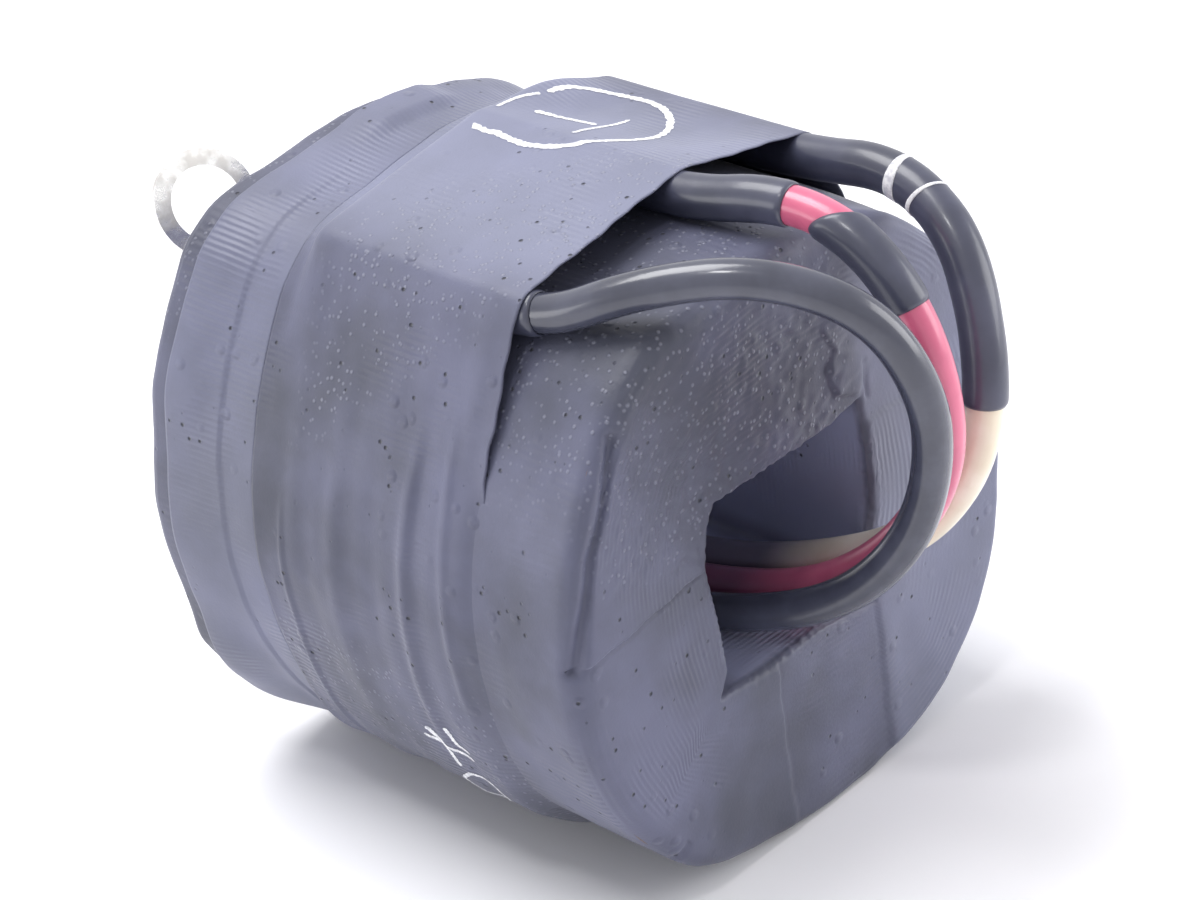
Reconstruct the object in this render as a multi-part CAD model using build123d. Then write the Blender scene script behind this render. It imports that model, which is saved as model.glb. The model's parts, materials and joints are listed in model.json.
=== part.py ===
"""Square taped coil with an open window, three flying leads and their ring terminals.

Sizes are in mm. The shapes are drawn around the window's axis, which runs along Y, and are
raised by axis_height when they are written, so that the coil stands on Z = 0.
"""

import os

from build123d import *

# Fits.
face_gap = 0.1
wrap_clearance = 0.05
sleeve_clearance = 0.05

# Size of the blocks that cut shapes, well past the coil, and how near to a plane counts as in it.
far = 400.0
plane_tolerance = 0.001

# Window and former. Half sizes are from the window's axis, or from the middle of its length.
window_half = 14.2
window_corner = 2.0
lining_thickness = 0.8
former_wall = 1.2
former_half_length = 35.1
cheek_thickness = 1.0

# Depth of each layer around the former.
inner_winding_depth = 10.05
interlayer_thickness = 0.7
outer_winding_depth = 10.0
insulation_thickness = 1.3
wrap_thickness = 1.7

# Tape wrap around the whole coil.
wrap_face_thickness = 1.9
wrap_press = 0.2
wrap_edge_radius = 3.0
wrap_window_radius = 1.2
belt_rise = 0.3
belt_rim_depth = 15.0
tape_width = 19.0

# First edge of the proud tape turn on each side of the window: an X, or a Z on left and right.
belt_starts = {"bottom": -6.4, "left": -15.0, "right": -8.5, "top": -10.0}

# Every layer bows outwards and rounds its corners as the winding builds up.
crown_rate = 0.332
extra_height_rate = 0.0168

# Leads, with their splices and sleeves.
lead_radius = 2.5
fillet_share = 0.45
sleeve_wall = 0.35
splice_radius = 2.45
splice_length = 9.0
splice_cover = 1.5
splice_front = 2.0
tail_radius = 0.9
tail_hole_clearance = 0.2
tail_reach = 4.6
tail_bend = 2.2
tail_foot_gap = 0.3

# Cover band over the splices, a wide tape, and the narrower band behind it.
band_setback = 16.5
band_thickness = 0.6
band_lift = 0.35
band_rear_slant = 0.1
tent_height = 14.0
tent_overhang = 1.5
tent_slope = 6.6
tent_hem = 2.6
rear_band_gap = 0.3
rear_band_setback = 3.4
rear_band_thickness = 0.5

# Ring terminals.
barrel_radius = 3.3
barrel_length = 9.0
barrel_mouth = 0.5
crimp_radius = 1.6
crimp_depth = 0.8
crimp_at = 4.6
eye_radius = 5.25
ring_radius = 7.7
ring_distance = 22.0
palm_thickness = 1.2
neck_half_width = 4.3
neck_start = 12.6
neck_overlap = 1.0
neck_fillet = 2.5

# Where the black and the cream joints lie, as a share of the coil's half width.
black_joint_across = -0.59
cream_joint_across = 0.625

# Length of lead that each joint sleeve covers, and the second sleeve on the red lead.
joint_cover = {"black": 23.6, "red": 38.9, "cream": 71.5}
mid_sleeve_from = 45.5
mid_sleeve_to = 59.0

# Direction across each terminal's flat side.
ring_facing = {"black": (-0.15, -0.92, 0.37), "red": (0.0, 0.61, 0.79), "cream": (0.3, 0.4, 0.8)}

# Half sizes of the layers, worked out from the window outwards.
former_inside = window_half + lining_thickness + wrap_clearance
former_outside = former_inside + former_wall
former_corner = window_corner + lining_thickness
inner_winding_half = former_outside + inner_winding_depth
interlayer_half = inner_winding_half + interlayer_thickness
outer_winding_half = interlayer_half + outer_winding_depth
insulation_half = outer_winding_half + insulation_thickness
wrap_half = insulation_half + wrap_thickness
wrap_face = former_half_length + wrap_face_thickness
wrap_underside = wrap_half - wrap_press

# Height of the window's axis above the floor: the coil stands on the cover band.
axis_height = wrap_underside + band_thickness

# Places of the bands along the window's axis.
band_front = -wrap_face + band_setback
tent_full_to = splice_front + splice_length + splice_cover + tent_overhang
tent_flush_at = tent_full_to + tent_slope
band_rear_at_middle = tent_flush_at + tent_hem
rear_band_end = wrap_face - rear_band_setback

sleeve_inner = lead_radius + sleeve_clearance
sleeve_outer = sleeve_inner + sleeve_wall

# Places that the routes start from: over the coil, at its faces and along the window's sill.
over = wrap_half
front = -wrap_face
rear = wrap_face
sill = -window_half + lead_radius
left = -window_half + lead_radius
black_side = black_joint_across * wrap_half
cream_side = cream_joint_across * wrap_half

# Route of each lead: out of its splice, over the front, down and back through the window.
black_route = [
    (black_side, splice_front, over - 0.5),
    (black_side, -9.0, over - 0.5),
    (black_side - 0.2, -22.2, over - 0.8),
    (black_side + 5.1, front + 3.1, over + 4.5),
    (-10.7, front - 8.8, over + 5.9),
    (-3.0, front - 18.6, over + 0.1),
    (1.3, front - 22.5, 28.1),
    (3.5, front - 20.3, 15.1),
    (3.5, front - 14.7, 2.6),
    (0.6, front - 5.4, sill + 4.7),
    (-4.4, front + 7.8, sill + 0.7),
    (-9.0, -13.7, sill + 0.6),
    (left + 0.4, 2.0, sill + 0.3),
    (left + 0.4, 17.0, sill + 0.3),
    (left + 0.7, rear - 5.5, sill + 1.7),
    (left + 1.4, rear + 6.6, sill + 8.3),
    (left + 2.0, rear + 12.6, sill + 19.5),
]
red_route = [
    (3.4, splice_front, over + 3.6),
    (3.4, -9.0, over + 3.6),
    (2.8, -21.9, over + 3.5),
    (5.7, front + 1.8, over + 5.7),
    (6.2, front - 9.2, over + 3.4),
    (6.2, front - 17.6, over - 5.2),
    (7.4, front - 19.8, 21.7),
    (9.4, front - 16.0, 8.9),
    (7.6, front - 8.2, sill + 9.1),
    (4.3, front + 2.2, sill + 2.1),
    (0.2, -22.2, sill + 0.2),
    (-3.6, -8.3, sill + 0.7),
    (left + 6.3, 6.5, sill + 0.3),
    (left + 6.3, 21.5, sill + 0.3),
    (left + 6.5, rear - 1.5, sill + 1.1),
    (left + 7.3, rear + 9.0, sill - 1.7),
    (left + 8.1, rear + 16.4, sill - 7.9),
]
cream_route = [
    (cream_side, splice_front, over - 1.1),
    (cream_side, -9.0, over - 1.1),
    (cream_side + 0.2, -22.4, over - 0.7),
    (cream_side + 0.7, front + 1.5, over + 1.1),
    (cream_side - 1.5, front - 9.6, over - 3.2),
    (19.6, front - 15.9, 27.2),
    (17.0, front - 17.7, 15.4),
    (15.5, front - 14.1, 4.6),
    (12.5, front - 6.6, sill + 7.6),
    (9.0, front + 5.2, sill + 2.8),
    (5.2, -19.0, sill + 0.3),
    (2.2, -4.4, sill + 0.6),
    (left + 12.5, 10.5, sill + 0.3),
    (left + 12.3, 24.5, sill + 0.5),
    (left + 13.9, rear + 0.5, sill + 0.9),
    (left + 18.1, rear + 10.4, sill - 2.1),
    (left + 22.7, rear + 16.2, sill - 8.1),
]
routes = {"black": black_route, "red": red_route, "cream": cream_route}


def square(half, corner):
    """Square section around the window's axis."""
    return RectangleRounded(2 * half, 2 * half, corner)


def outline(half):
    """Outer section of a layer: a square with bowed sides and rounded corners."""
    build_up = half - former_outside
    bow = crown_rate * build_up
    half_height = half + extra_height_rate * build_up
    across = half - bow
    up = half_height - bow
    sides = [
        ThreePointArc((-across, -up), (0, -half_height), (across, -up)),
        ThreePointArc((across, -up), (half, 0), (across, up)),
        ThreePointArc((across, up), (0, half_height), (-across, up)),
        ThreePointArc((-across, up), (-half, 0), (-across, -up)),
    ]
    face = make_face(Curve() + sides)
    return fillet(face.vertices(), former_corner + build_up)


def prism(section, front, back):
    """Solid with the given section between two Y positions."""
    return Plane.XZ * Pos(0, 0, -back) * extrude(section, back - front)


def layer(outer, inner, half_length):
    """Ring-shaped layer of the coil between two sections."""
    return prism(outer - inner, -half_length, half_length)


def above(level, shape):
    """Part of a shape above a level, which flattens its underside."""
    return shape & Pos(0, 0, level + far / 2) * Box(far, far, far)


def rim(shape, y):
    """Edges of a shape that lie in the plane at the given Y."""
    found = []
    for edge in shape.edges():
        box = edge.bounding_box()
        if max(abs(box.min.Y - y), abs(box.max.Y - y)) < plane_tolerance:
            found.append(edge)
    return found


def former_tube():
    """Square tube that the coil is wound on."""
    outer = square(former_outside, former_corner + former_wall)
    return layer(outer, square(former_inside, former_corner), former_half_length)


def cheek(side):
    """End plate of the former, on the front (-1) or the rear (+1)."""
    outer_y = side * former_half_length
    inner_y = outer_y - side * cheek_thickness
    hole = square(former_outside + wrap_clearance, former_corner + former_wall)
    return prism(outline(insulation_half) - hole, min(outer_y, inner_y), max(outer_y, inner_y))


def inner_winding():
    """First winding, as one solid."""
    hole = square(former_outside + face_gap, former_corner + former_wall)
    return layer(outline(inner_winding_half), hole, winding_half_length())


def winding_half_length():
    """Half the length of the windings between the cheeks."""
    return former_half_length - cheek_thickness - face_gap


def interlayer():
    """Insulation between the two windings."""
    hole = outline(inner_winding_half + face_gap)
    return layer(outline(interlayer_half), hole, winding_half_length())


def outer_winding():
    """Second winding, as one solid."""
    hole = outline(interlayer_half + face_gap)
    return layer(outline(outer_winding_half), hole, winding_half_length())


def tail_holes():
    """Holes that the winding tails leave the coil through."""
    radius = tail_radius + tail_hole_clearance
    holes = []
    for route in routes.values():
        outer_end, inner_end = tail_drop(route)
        axis = Plane(origin=outer_end, z_dir=inner_end - outer_end)
        holes.append(extrude(axis * Circle(radius), (inner_end - outer_end).length))
    return Part() + holes


def outer_insulation():
    """Insulation over the second winding."""
    hole = outline(outer_winding_half + face_gap)
    return layer(outline(insulation_half), hole, winding_half_length()) - tail_holes()


def wrap_block(grow):
    """Outer form of the taped coil, grown by the given amount."""
    body = prism(outline(wrap_half + grow), -wrap_face - grow, wrap_face + grow)
    for y in (-wrap_face - grow, wrap_face + grow):
        body = fillet(rim(body, y), wrap_edge_radius)
    body = above(-wrap_underside - grow, body)
    body -= prism(square(window_half, window_corner), -2 * wrap_face, 2 * wrap_face)
    for y in (-wrap_face - grow, wrap_face + grow):
        inner = [e for e in rim(body, y) if max(abs(e.center().X), abs(e.center().Z)) < former_outside]
        body = fillet(inner, wrap_window_radius)
    return body


def belt_slabs():
    """Spaces of the tape turns that stand proud, one on each side of the window."""
    reach = wrap_half
    centre = {side: start + tape_width / 2 for side, start in belt_starts.items()}
    out = window_half + reach / 2
    return [
        Pos(centre["bottom"], 0, -out) * Box(tape_width, far, reach),
        Pos(-out, 0, centre["left"]) * Box(reach, far, tape_width),
        Pos(out, 0, centre["right"]) * Box(reach, far, tape_width),
        Pos(centre["top"], 0, out) * Box(tape_width, far, reach),
    ]


def belt_ends():
    """Spaces at the front rim and behind the rear band, where the proud turns show."""
    return [
        Pos(0, -wrap_face + belt_rim_depth - far / 2, 0) * Box(far, far, far),
        Pos(0, rear_band_end + face_gap + far / 2, 0) * Box(far, far, far),
    ]


def ground_wrap():
    """Tape wrapped through the window and around the whole coil, with its proud turns."""
    belts = wrap_block(belt_rise) & (Part() + belt_ends()) & (Part() + belt_slabs())
    hollow = layer(
        outline(insulation_half + face_gap),
        square(former_inside - wrap_clearance, former_corner),
        former_half_length + face_gap,
    )
    return (wrap_block(0) + belts) - hollow - tail_holes()


def stretched_section(grow):
    """Section of a tape pulled straight from the coil's outside over each sleeve."""
    edges = outline(wrap_half + grow).edges()
    for route in routes.values():
        middle = (Vector(*route[0]) + Vector(*route[2])) / 2
        edges += (Pos(middle.X, middle.Z) * Circle(sleeve_outer + grow)).edges()
    return make_hull(edges)


def tent(grow):
    """Space under a tape that is stretched over the coil and the three leads."""
    body = outline(wrap_half + grow)
    stretched = prism(stretched_section(grow), band_front, 2 * wrap_face)
    tall = outline(wrap_half + grow + tent_height)
    full = prism(tall, band_front, tent_full_to)
    sections = [Plane.XZ.offset(-tent_full_to) * tall, Plane.XZ.offset(-tent_flush_at) * body]
    return (stretched & (full + loft(sections))) + prism(body, band_front, 2 * wrap_face)


def behind_slant(gap):
    """Space behind the slanted rear edge of the cover band."""
    edge = Plane(origin=(0, band_rear_at_middle + gap, 0), z_dir=(-band_rear_slant, 1, 0))
    return extrude(edge * Rectangle(far, far), far)


def cover_band():
    """Wide tape that holds the splices and tents over the leads."""
    outer = above(-axis_height, tent(band_lift + band_thickness))
    return outer - above(-wrap_underside, tent(band_lift)) - behind_slant(0)


def rear_band():
    """Narrow tape between the cover band and the rear face."""
    inside = wrap_half + wrap_clearance
    outer = above(-axis_height, prism(outline(inside + rear_band_thickness), 0, rear_band_end))
    inner = above(-wrap_underside, prism(outline(inside), 0, rear_band_end))
    return (outer - inner) & behind_slant(rear_band_gap)


def turn_radii(points):
    """Radius of the arc at each inner point of a route."""
    radii = []
    for before, here, after in zip(points, points[1:], points[2:]):
        run_in = Vector(*here) - Vector(*before)
        run_out = Vector(*after) - Vector(*here)
        half_turn = run_in.get_angle(run_out) / 2
        shorter = min(run_in.length, run_out.length)
        radii.append(fillet_share * shorter / tan_degrees(half_turn))
    return radii


def tan_degrees(angle):
    """Tangent of an angle in degrees."""
    direction = Vector(1, 0).rotate(Axis.Z, angle)
    return direction.Y / direction.X


def centre_line(points):
    """Straight runs joined by tangent arcs."""
    return FilletPolyline(*points, radius=turn_radii(points))


def tube(path, outer, inner=0.0):
    """Round tube or rod along a path."""
    section = Circle(outer) - Circle(inner) if inner else Circle(outer)
    return sweep(Plane(origin=path @ 0, z_dir=path % 0) * section, path=path)


def stretch(points, start, end):
    """Part of a route's centre line between two lengths in mm."""
    wire = centre_line(points).wire()
    return wire.trim(start / wire.length, end / wire.length)


def joint_sleeve(name):
    """Insulating sleeve over the splice and the first part of its lead."""
    route = routes[name]
    behind = splice_length + splice_cover
    x, y, z = route[0]
    path = stretch([(x, y + behind, z)] + route[1:], 0, behind + joint_cover[name])
    return tube(path, sleeve_outer, sleeve_inner)


def mid_sleeve():
    """Second sleeve on the red lead."""
    return tube(stretch(red_route, mid_sleeve_from, mid_sleeve_to), sleeve_outer, sleeve_inner)


def splice(route):
    """Crimped splice between a winding tail and its lead."""
    x, y, z = route[0]
    return Plane(origin=(x, y, z), z_dir=(0, 1, 0)) * extrude(Circle(splice_radius), splice_length)


def tail_drop(route):
    """Ends of a tail's drop: level with the splice, and on the outer winding."""
    start = Vector(*route[0])
    top = Vector(start.X, start.Y + splice_length + tail_reach, start.Z)
    inward = Vector(-top.X, 0, -top.Z).normalized()
    ray = Edge.make_line(top, top + inward * wrap_half)
    winding = prism(outline(outer_winding_half + tail_foot_gap), -wrap_face, wrap_face)
    outside = ray - winding
    return top, max(outside.vertices(), key=lambda v: (Vector(v) - top).length).center()


def winding_tail(route):
    """End of the winding wire, from its splice down to the outer winding."""
    start = Vector(*route[0]) + Vector(0, splice_length, 0)
    top, foot = tail_drop(route)
    return tube(FilletPolyline(start, top, foot, radius=tail_bend), tail_radius)


def terminal_plane(name):
    """Plane at a lead's end: X along the terminal, Z across its flat side."""
    end = Vector(*routes[name][-1])
    along = (end - Vector(*routes[name][-2])).normalized()
    facing = Vector(*ring_facing[name])
    return Plane(origin=end, x_dir=along, z_dir=facing - along * facing.dot(along))


def terminal_barrel():
    """Crimped barrel of a ring terminal, along X."""
    along = Plane.YZ
    body = extrude(along * Circle(barrel_radius), barrel_length)
    body = chamfer(body.faces().sort_by(Axis.X)[0].edges(), barrel_mouth)
    dent = Pos(crimp_at, 0, barrel_radius + crimp_radius - crimp_depth)
    return body - dent * Rot(90, 0, 0) * Cylinder(crimp_radius, 2 * barrel_radius)


def terminal(name):
    """Ring terminal: round barrel, flattened neck and ring with its eye."""
    shoulder = loft(
        [
            Plane.YZ.offset(barrel_length) * Circle(barrel_radius),
            Plane.YZ.offset(neck_start + neck_overlap) * Ellipse(neck_half_width, palm_thickness / 2),
        ]
    )
    neck_length = ring_distance - neck_start
    neck = Pos(neck_start + neck_length / 2, 0) * Rectangle(neck_length, 2 * neck_half_width)
    flat = Pos(ring_distance, 0) * Circle(ring_radius) + neck
    inside = [v for v in flat.vertices() if v.X > neck_start + neck_overlap]
    flat = fillet(inside, neck_fillet) - Pos(ring_distance, 0) * Circle(eye_radius)
    palm = Pos(0, 0, -palm_thickness / 2) * extrude(flat, palm_thickness)
    return terminal_plane(name) * (terminal_barrel() + shoulder + palm)


def all_parts():
    """Every piece by its name."""
    pieces = {
        "former_tube": former_tube(),
        "front_cheek": cheek(-1),
        "rear_cheek": cheek(1),
        "inner_winding": inner_winding(),
        "interlayer_insulation": interlayer(),
        "outer_winding": outer_winding(),
        "outer_insulation": outer_insulation(),
        "ground_wrap": ground_wrap(),
        "cover_band": cover_band(),
        "rear_band": rear_band(),
        "mid_sleeve_red": mid_sleeve(),
    }
    for name, route in routes.items():
        pieces[f"lead_{name}"] = tube(centre_line(route), lead_radius)
        pieces[f"splice_{name}"] = splice(route)
        pieces[f"joint_sleeve_{name}"] = joint_sleeve(name)
        pieces[f"winding_tail_{name}"] = winding_tail(route)
        pieces[f"terminal_{name}"] = terminal(name)
        print(f"lead {name}: radii", [round(r, 1) for r in turn_radii(route)])
        print(f"lead {name}: length", round(centre_line(route).length, 1))
    return pieces


os.makedirs("parts", exist_ok=True)
for node, shape in all_parts().items():
    export_step(Pos(0, 0, axis_height) * shape, f"parts/{node}.step")
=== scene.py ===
"""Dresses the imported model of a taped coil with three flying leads.

Lengths are in metres in the row frame: Z up, the window's axis along Y, the floor at Z = 0.
Sizes written in millimetres carry the factor MM.
"""

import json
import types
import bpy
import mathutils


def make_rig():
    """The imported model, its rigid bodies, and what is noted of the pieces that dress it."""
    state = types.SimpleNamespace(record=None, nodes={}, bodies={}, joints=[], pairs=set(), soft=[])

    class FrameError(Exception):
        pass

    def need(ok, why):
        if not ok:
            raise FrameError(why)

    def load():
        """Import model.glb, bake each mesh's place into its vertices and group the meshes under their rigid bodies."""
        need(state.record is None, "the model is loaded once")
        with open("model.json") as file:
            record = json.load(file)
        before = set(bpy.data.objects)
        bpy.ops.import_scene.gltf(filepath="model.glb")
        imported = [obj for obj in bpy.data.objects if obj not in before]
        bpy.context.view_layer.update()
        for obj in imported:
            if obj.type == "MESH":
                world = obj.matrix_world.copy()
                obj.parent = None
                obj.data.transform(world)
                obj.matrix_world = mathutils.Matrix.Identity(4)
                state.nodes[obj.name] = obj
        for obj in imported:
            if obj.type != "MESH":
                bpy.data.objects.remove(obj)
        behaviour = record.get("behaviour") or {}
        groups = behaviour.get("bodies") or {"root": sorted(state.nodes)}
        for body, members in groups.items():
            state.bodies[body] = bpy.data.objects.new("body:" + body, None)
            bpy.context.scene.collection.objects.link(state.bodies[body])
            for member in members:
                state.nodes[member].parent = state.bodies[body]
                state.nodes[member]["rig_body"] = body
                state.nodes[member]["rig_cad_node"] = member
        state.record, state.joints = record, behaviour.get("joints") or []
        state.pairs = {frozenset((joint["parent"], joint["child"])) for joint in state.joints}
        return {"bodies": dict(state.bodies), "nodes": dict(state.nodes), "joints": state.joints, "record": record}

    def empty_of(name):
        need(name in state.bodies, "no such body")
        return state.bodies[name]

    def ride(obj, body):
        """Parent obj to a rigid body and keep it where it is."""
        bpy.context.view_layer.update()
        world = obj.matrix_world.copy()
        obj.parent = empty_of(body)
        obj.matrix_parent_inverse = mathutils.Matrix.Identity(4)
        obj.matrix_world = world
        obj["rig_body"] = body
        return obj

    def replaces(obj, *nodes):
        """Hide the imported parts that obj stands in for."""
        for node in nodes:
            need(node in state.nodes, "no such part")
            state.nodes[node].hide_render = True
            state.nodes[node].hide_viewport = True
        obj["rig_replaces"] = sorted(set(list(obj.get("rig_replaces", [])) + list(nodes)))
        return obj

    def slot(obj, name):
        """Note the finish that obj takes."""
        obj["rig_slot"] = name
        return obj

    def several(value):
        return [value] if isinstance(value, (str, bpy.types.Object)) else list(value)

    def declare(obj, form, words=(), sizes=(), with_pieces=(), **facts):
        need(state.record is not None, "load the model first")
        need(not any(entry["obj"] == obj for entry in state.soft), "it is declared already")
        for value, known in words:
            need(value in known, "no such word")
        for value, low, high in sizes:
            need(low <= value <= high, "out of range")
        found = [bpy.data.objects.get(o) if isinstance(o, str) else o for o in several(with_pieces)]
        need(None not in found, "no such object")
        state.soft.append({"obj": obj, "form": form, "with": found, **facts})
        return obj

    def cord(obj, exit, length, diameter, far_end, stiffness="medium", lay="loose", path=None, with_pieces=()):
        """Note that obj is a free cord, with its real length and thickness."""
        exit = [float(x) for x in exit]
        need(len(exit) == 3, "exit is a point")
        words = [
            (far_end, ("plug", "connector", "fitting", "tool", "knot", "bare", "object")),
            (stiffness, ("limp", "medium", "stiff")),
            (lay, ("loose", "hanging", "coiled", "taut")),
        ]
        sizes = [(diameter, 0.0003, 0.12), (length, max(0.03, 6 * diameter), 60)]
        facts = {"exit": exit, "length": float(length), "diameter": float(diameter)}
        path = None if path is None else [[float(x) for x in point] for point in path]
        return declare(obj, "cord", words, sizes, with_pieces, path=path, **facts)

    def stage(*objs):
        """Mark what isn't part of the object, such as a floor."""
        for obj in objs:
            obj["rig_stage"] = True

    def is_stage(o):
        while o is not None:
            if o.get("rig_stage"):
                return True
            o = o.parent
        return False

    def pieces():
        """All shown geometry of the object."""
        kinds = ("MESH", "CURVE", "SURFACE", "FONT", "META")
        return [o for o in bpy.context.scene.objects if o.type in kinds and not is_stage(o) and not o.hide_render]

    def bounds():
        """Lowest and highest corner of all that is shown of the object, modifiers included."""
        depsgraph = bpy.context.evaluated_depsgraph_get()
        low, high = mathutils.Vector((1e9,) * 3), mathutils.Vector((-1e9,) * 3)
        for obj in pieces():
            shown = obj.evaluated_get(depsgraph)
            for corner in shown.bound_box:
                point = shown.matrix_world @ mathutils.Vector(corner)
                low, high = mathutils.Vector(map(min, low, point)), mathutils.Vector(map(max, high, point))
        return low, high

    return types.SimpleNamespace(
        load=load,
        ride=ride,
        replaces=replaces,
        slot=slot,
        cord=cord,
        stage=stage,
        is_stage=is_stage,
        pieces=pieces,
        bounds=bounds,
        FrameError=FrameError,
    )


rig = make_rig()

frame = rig.load()
cad_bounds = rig.bounds()

import json
import logging
import math
from dataclasses import dataclass
from enum import Enum

import bpy
import numpy as np
from mathutils import Matrix, Vector

log = logging.getLogger("coil")

Tree = bpy.types.NodeTree
Socket = bpy.types.NodeSocket
Array = np.ndarray

MM = 0.001
AXIS_HEIGHT = 40.4 * MM

# Routes of the leads, the same points as the CAD's.
BLACK_ROUTE = (
    (-0.0236, 0.0020, 0.0799), (-0.0236, -0.0090, 0.0799), (-0.0238, -0.0222, 0.0796),
    (-0.0185, -0.0339, 0.0849), (-0.0107, -0.0458, 0.0863), (-0.0030, -0.0556, 0.0805),
    (0.0013, -0.0595, 0.0685), (0.0035, -0.0573, 0.0555), (0.0035, -0.0517, 0.0430),
    (0.0006, -0.0424, 0.0334), (-0.0044, -0.0292, 0.0294), (-0.0090, -0.0137, 0.0293),
    (-0.0113, 0.0020, 0.0290), (-0.0113, 0.0170, 0.0290), (-0.0110, 0.0315, 0.0304),
    (-0.0103, 0.0436, 0.0370), (-0.0097, 0.0496, 0.0482),
)
RED_ROUTE = (
    (0.0034, 0.0020, 0.0840), (0.0034, -0.0090, 0.0840), (0.0028, -0.0219, 0.0839),
    (0.0057, -0.0352, 0.0861), (0.0062, -0.0462, 0.0838), (0.0062, -0.0546, 0.0752),
    (0.0074, -0.0568, 0.0621), (0.0094, -0.0530, 0.0493), (0.0076, -0.0452, 0.0378),
    (0.0043, -0.0348, 0.0308), (0.0002, -0.0222, 0.0289), (-0.0036, -0.0083, 0.0294),
    (-0.0054, 0.0065, 0.0290), (-0.0054, 0.0215, 0.0290), (-0.0052, 0.0355, 0.0298),
    (-0.0044, 0.0460, 0.0270), (-0.0036, 0.0534, 0.0208),
)
CREAM_ROUTE = (
    (0.0250, 0.0020, 0.0793), (0.0250, -0.0090, 0.0793), (0.0252, -0.0224, 0.0797),
    (0.0257, -0.0355, 0.0815), (0.0235, -0.0466, 0.0772), (0.0196, -0.0529, 0.0676),
    (0.0170, -0.0547, 0.0558), (0.0155, -0.0511, 0.0450), (0.0125, -0.0436, 0.0363),
    (0.0090, -0.0318, 0.0315), (0.0052, -0.0190, 0.0290), (0.0022, -0.0044, 0.0293),
    (0.0008, 0.0105, 0.0290), (0.0006, 0.0245, 0.0292), (0.0022, 0.0375, 0.0296),
    (0.0064, 0.0474, 0.0266), (0.0110, 0.0532, 0.0206),
)


class LeadName(Enum):
    """The three leads, by the colour of their insulation."""

    BLACK = "black"
    RED = "red"
    CREAM = "cream"


def linear(colour: str) -> tuple[float, float, float, float]:
    """Turns an sRGB hex colour into linear RGBA.

    Args:
        colour: Colour such as "#5c5e6c".

    Returns:
        Linear red, green and blue from 0 to 1, and alpha 1.
    """
    parts = [int(colour[i : i + 2], 16) / 255 for i in (1, 3, 5)]
    parts = [p / 12.92 if p <= 0.04045 else ((p + 0.055) / 1.055) ** 2.4 for p in parts]
    return (*parts, 1.0)


def add_node(
    tree: Tree,
    kind: str,
    settings: dict[str, object] | None = None,
    links: dict[str, Socket] | None = None,
) -> bpy.types.Node:
    """Adds one shader node.

    Args:
        tree: Node tree that gets the node.
        kind: Node type without its "ShaderNode" prefix.
        settings: Values by property name or input name.
        links: Output sockets by the name of the input that they feed.

    Returns:
        The new node.
    """
    node = tree.nodes.new("ShaderNode" + kind)
    for name, value in (settings or {}).items():
        if name in node.inputs:
            node.inputs[name].default_value = value
        else:
            setattr(node, name, value)
    for name, socket in (links or {}).items():
        tree.links.new(socket, node.inputs[name])
    return node


def new_material(name: str) -> tuple[bpy.types.Material, Tree]:
    """Makes an empty material with a node tree.

    Args:
        name: Name of the material.

    Returns:
        The material and its cleared tree.
    """
    material = bpy.data.materials.new(name)
    material.use_nodes = True
    material.node_tree.nodes.clear()
    return material, material.node_tree


def ramp(tree: Tree, factor: Socket, low: float, high: float) -> Socket:
    """Maps a factor from low..high to 0..1, clamped and smooth.

    Args:
        tree: Node tree.
        factor: Socket with the value.
        low: Value that becomes 0.
        high: Value that becomes 1.

    Returns:
        Socket with the mapped value.
    """
    settings = {"interpolation_type": "SMOOTHSTEP", "From Min": low, "From Max": high}
    return add_node(tree, "MapRange", settings, {"Value": factor}).outputs["Result"]


def combine(tree: Tree, operation: str, first: Socket, second: Socket) -> Socket:
    """Combines two values.

    Args:
        tree: Node tree.
        operation: Math operation, such as "MULTIPLY".
        first: First value.
        second: Second value.

    Returns:
        Socket with the result.
    """
    node = add_node(tree, "Math", {"operation": operation})
    tree.links.new(first, node.inputs[0])
    tree.links.new(second, node.inputs[1])
    return node.outputs[0]


def colour_mix(tree: Tree, factor: Socket, low: Socket | str, high: str) -> Socket:
    """Blends two colours by a factor.

    Args:
        tree: Node tree.
        factor: Socket from 0 to 1.
        low: Hex colour, or a socket with the colour, at 0.
        high: Hex colour at 1.

    Returns:
        Socket with the colour.
    """
    node = add_node(tree, "Mix", {"data_type": "RGBA"}, {"Factor": factor})
    ends = {socket.name: socket for socket in node.inputs if socket.type == "RGBA"}
    ends["B"].default_value = linear(high)
    if isinstance(low, str):
        ends["A"].default_value = linear(low)
    else:
        tree.links.new(low, ends["A"])
    return next(socket for socket in node.outputs if socket.type == "RGBA")


def noise(tree: Tree, place: Socket, scale: float, detail: float, roughness: float = 0.5) -> Socket:
    """Adds a noise texture.

    Args:
        tree: Node tree.
        place: Coordinates in metres.
        scale: Waves per metre.
        detail: Number of octaves.
        roughness: Weight of the finer octaves.

    Returns:
        Socket with the noise.
    """
    settings = {"Scale": scale, "Detail": detail, "Roughness": roughness}
    return add_node(tree, "TexNoise", settings, {"Vector": place}).outputs["Fac"]


def bump(tree: Tree, height: Socket, depth: float, below: Socket | None = None) -> Socket:
    """Adds a layer of bump.

    Args:
        tree: Node tree.
        height: Socket with the height from 0 to 1.
        depth: Depth in metres that a height of 1 stands for.
        below: Normal of the layer under this one.

    Returns:
        Socket with the new normal.
    """
    links = {"Height": height}
    if below is not None:
        links["Normal"] = below
    return add_node(tree, "Bump", {"Distance": depth}, links).outputs["Normal"]


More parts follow.
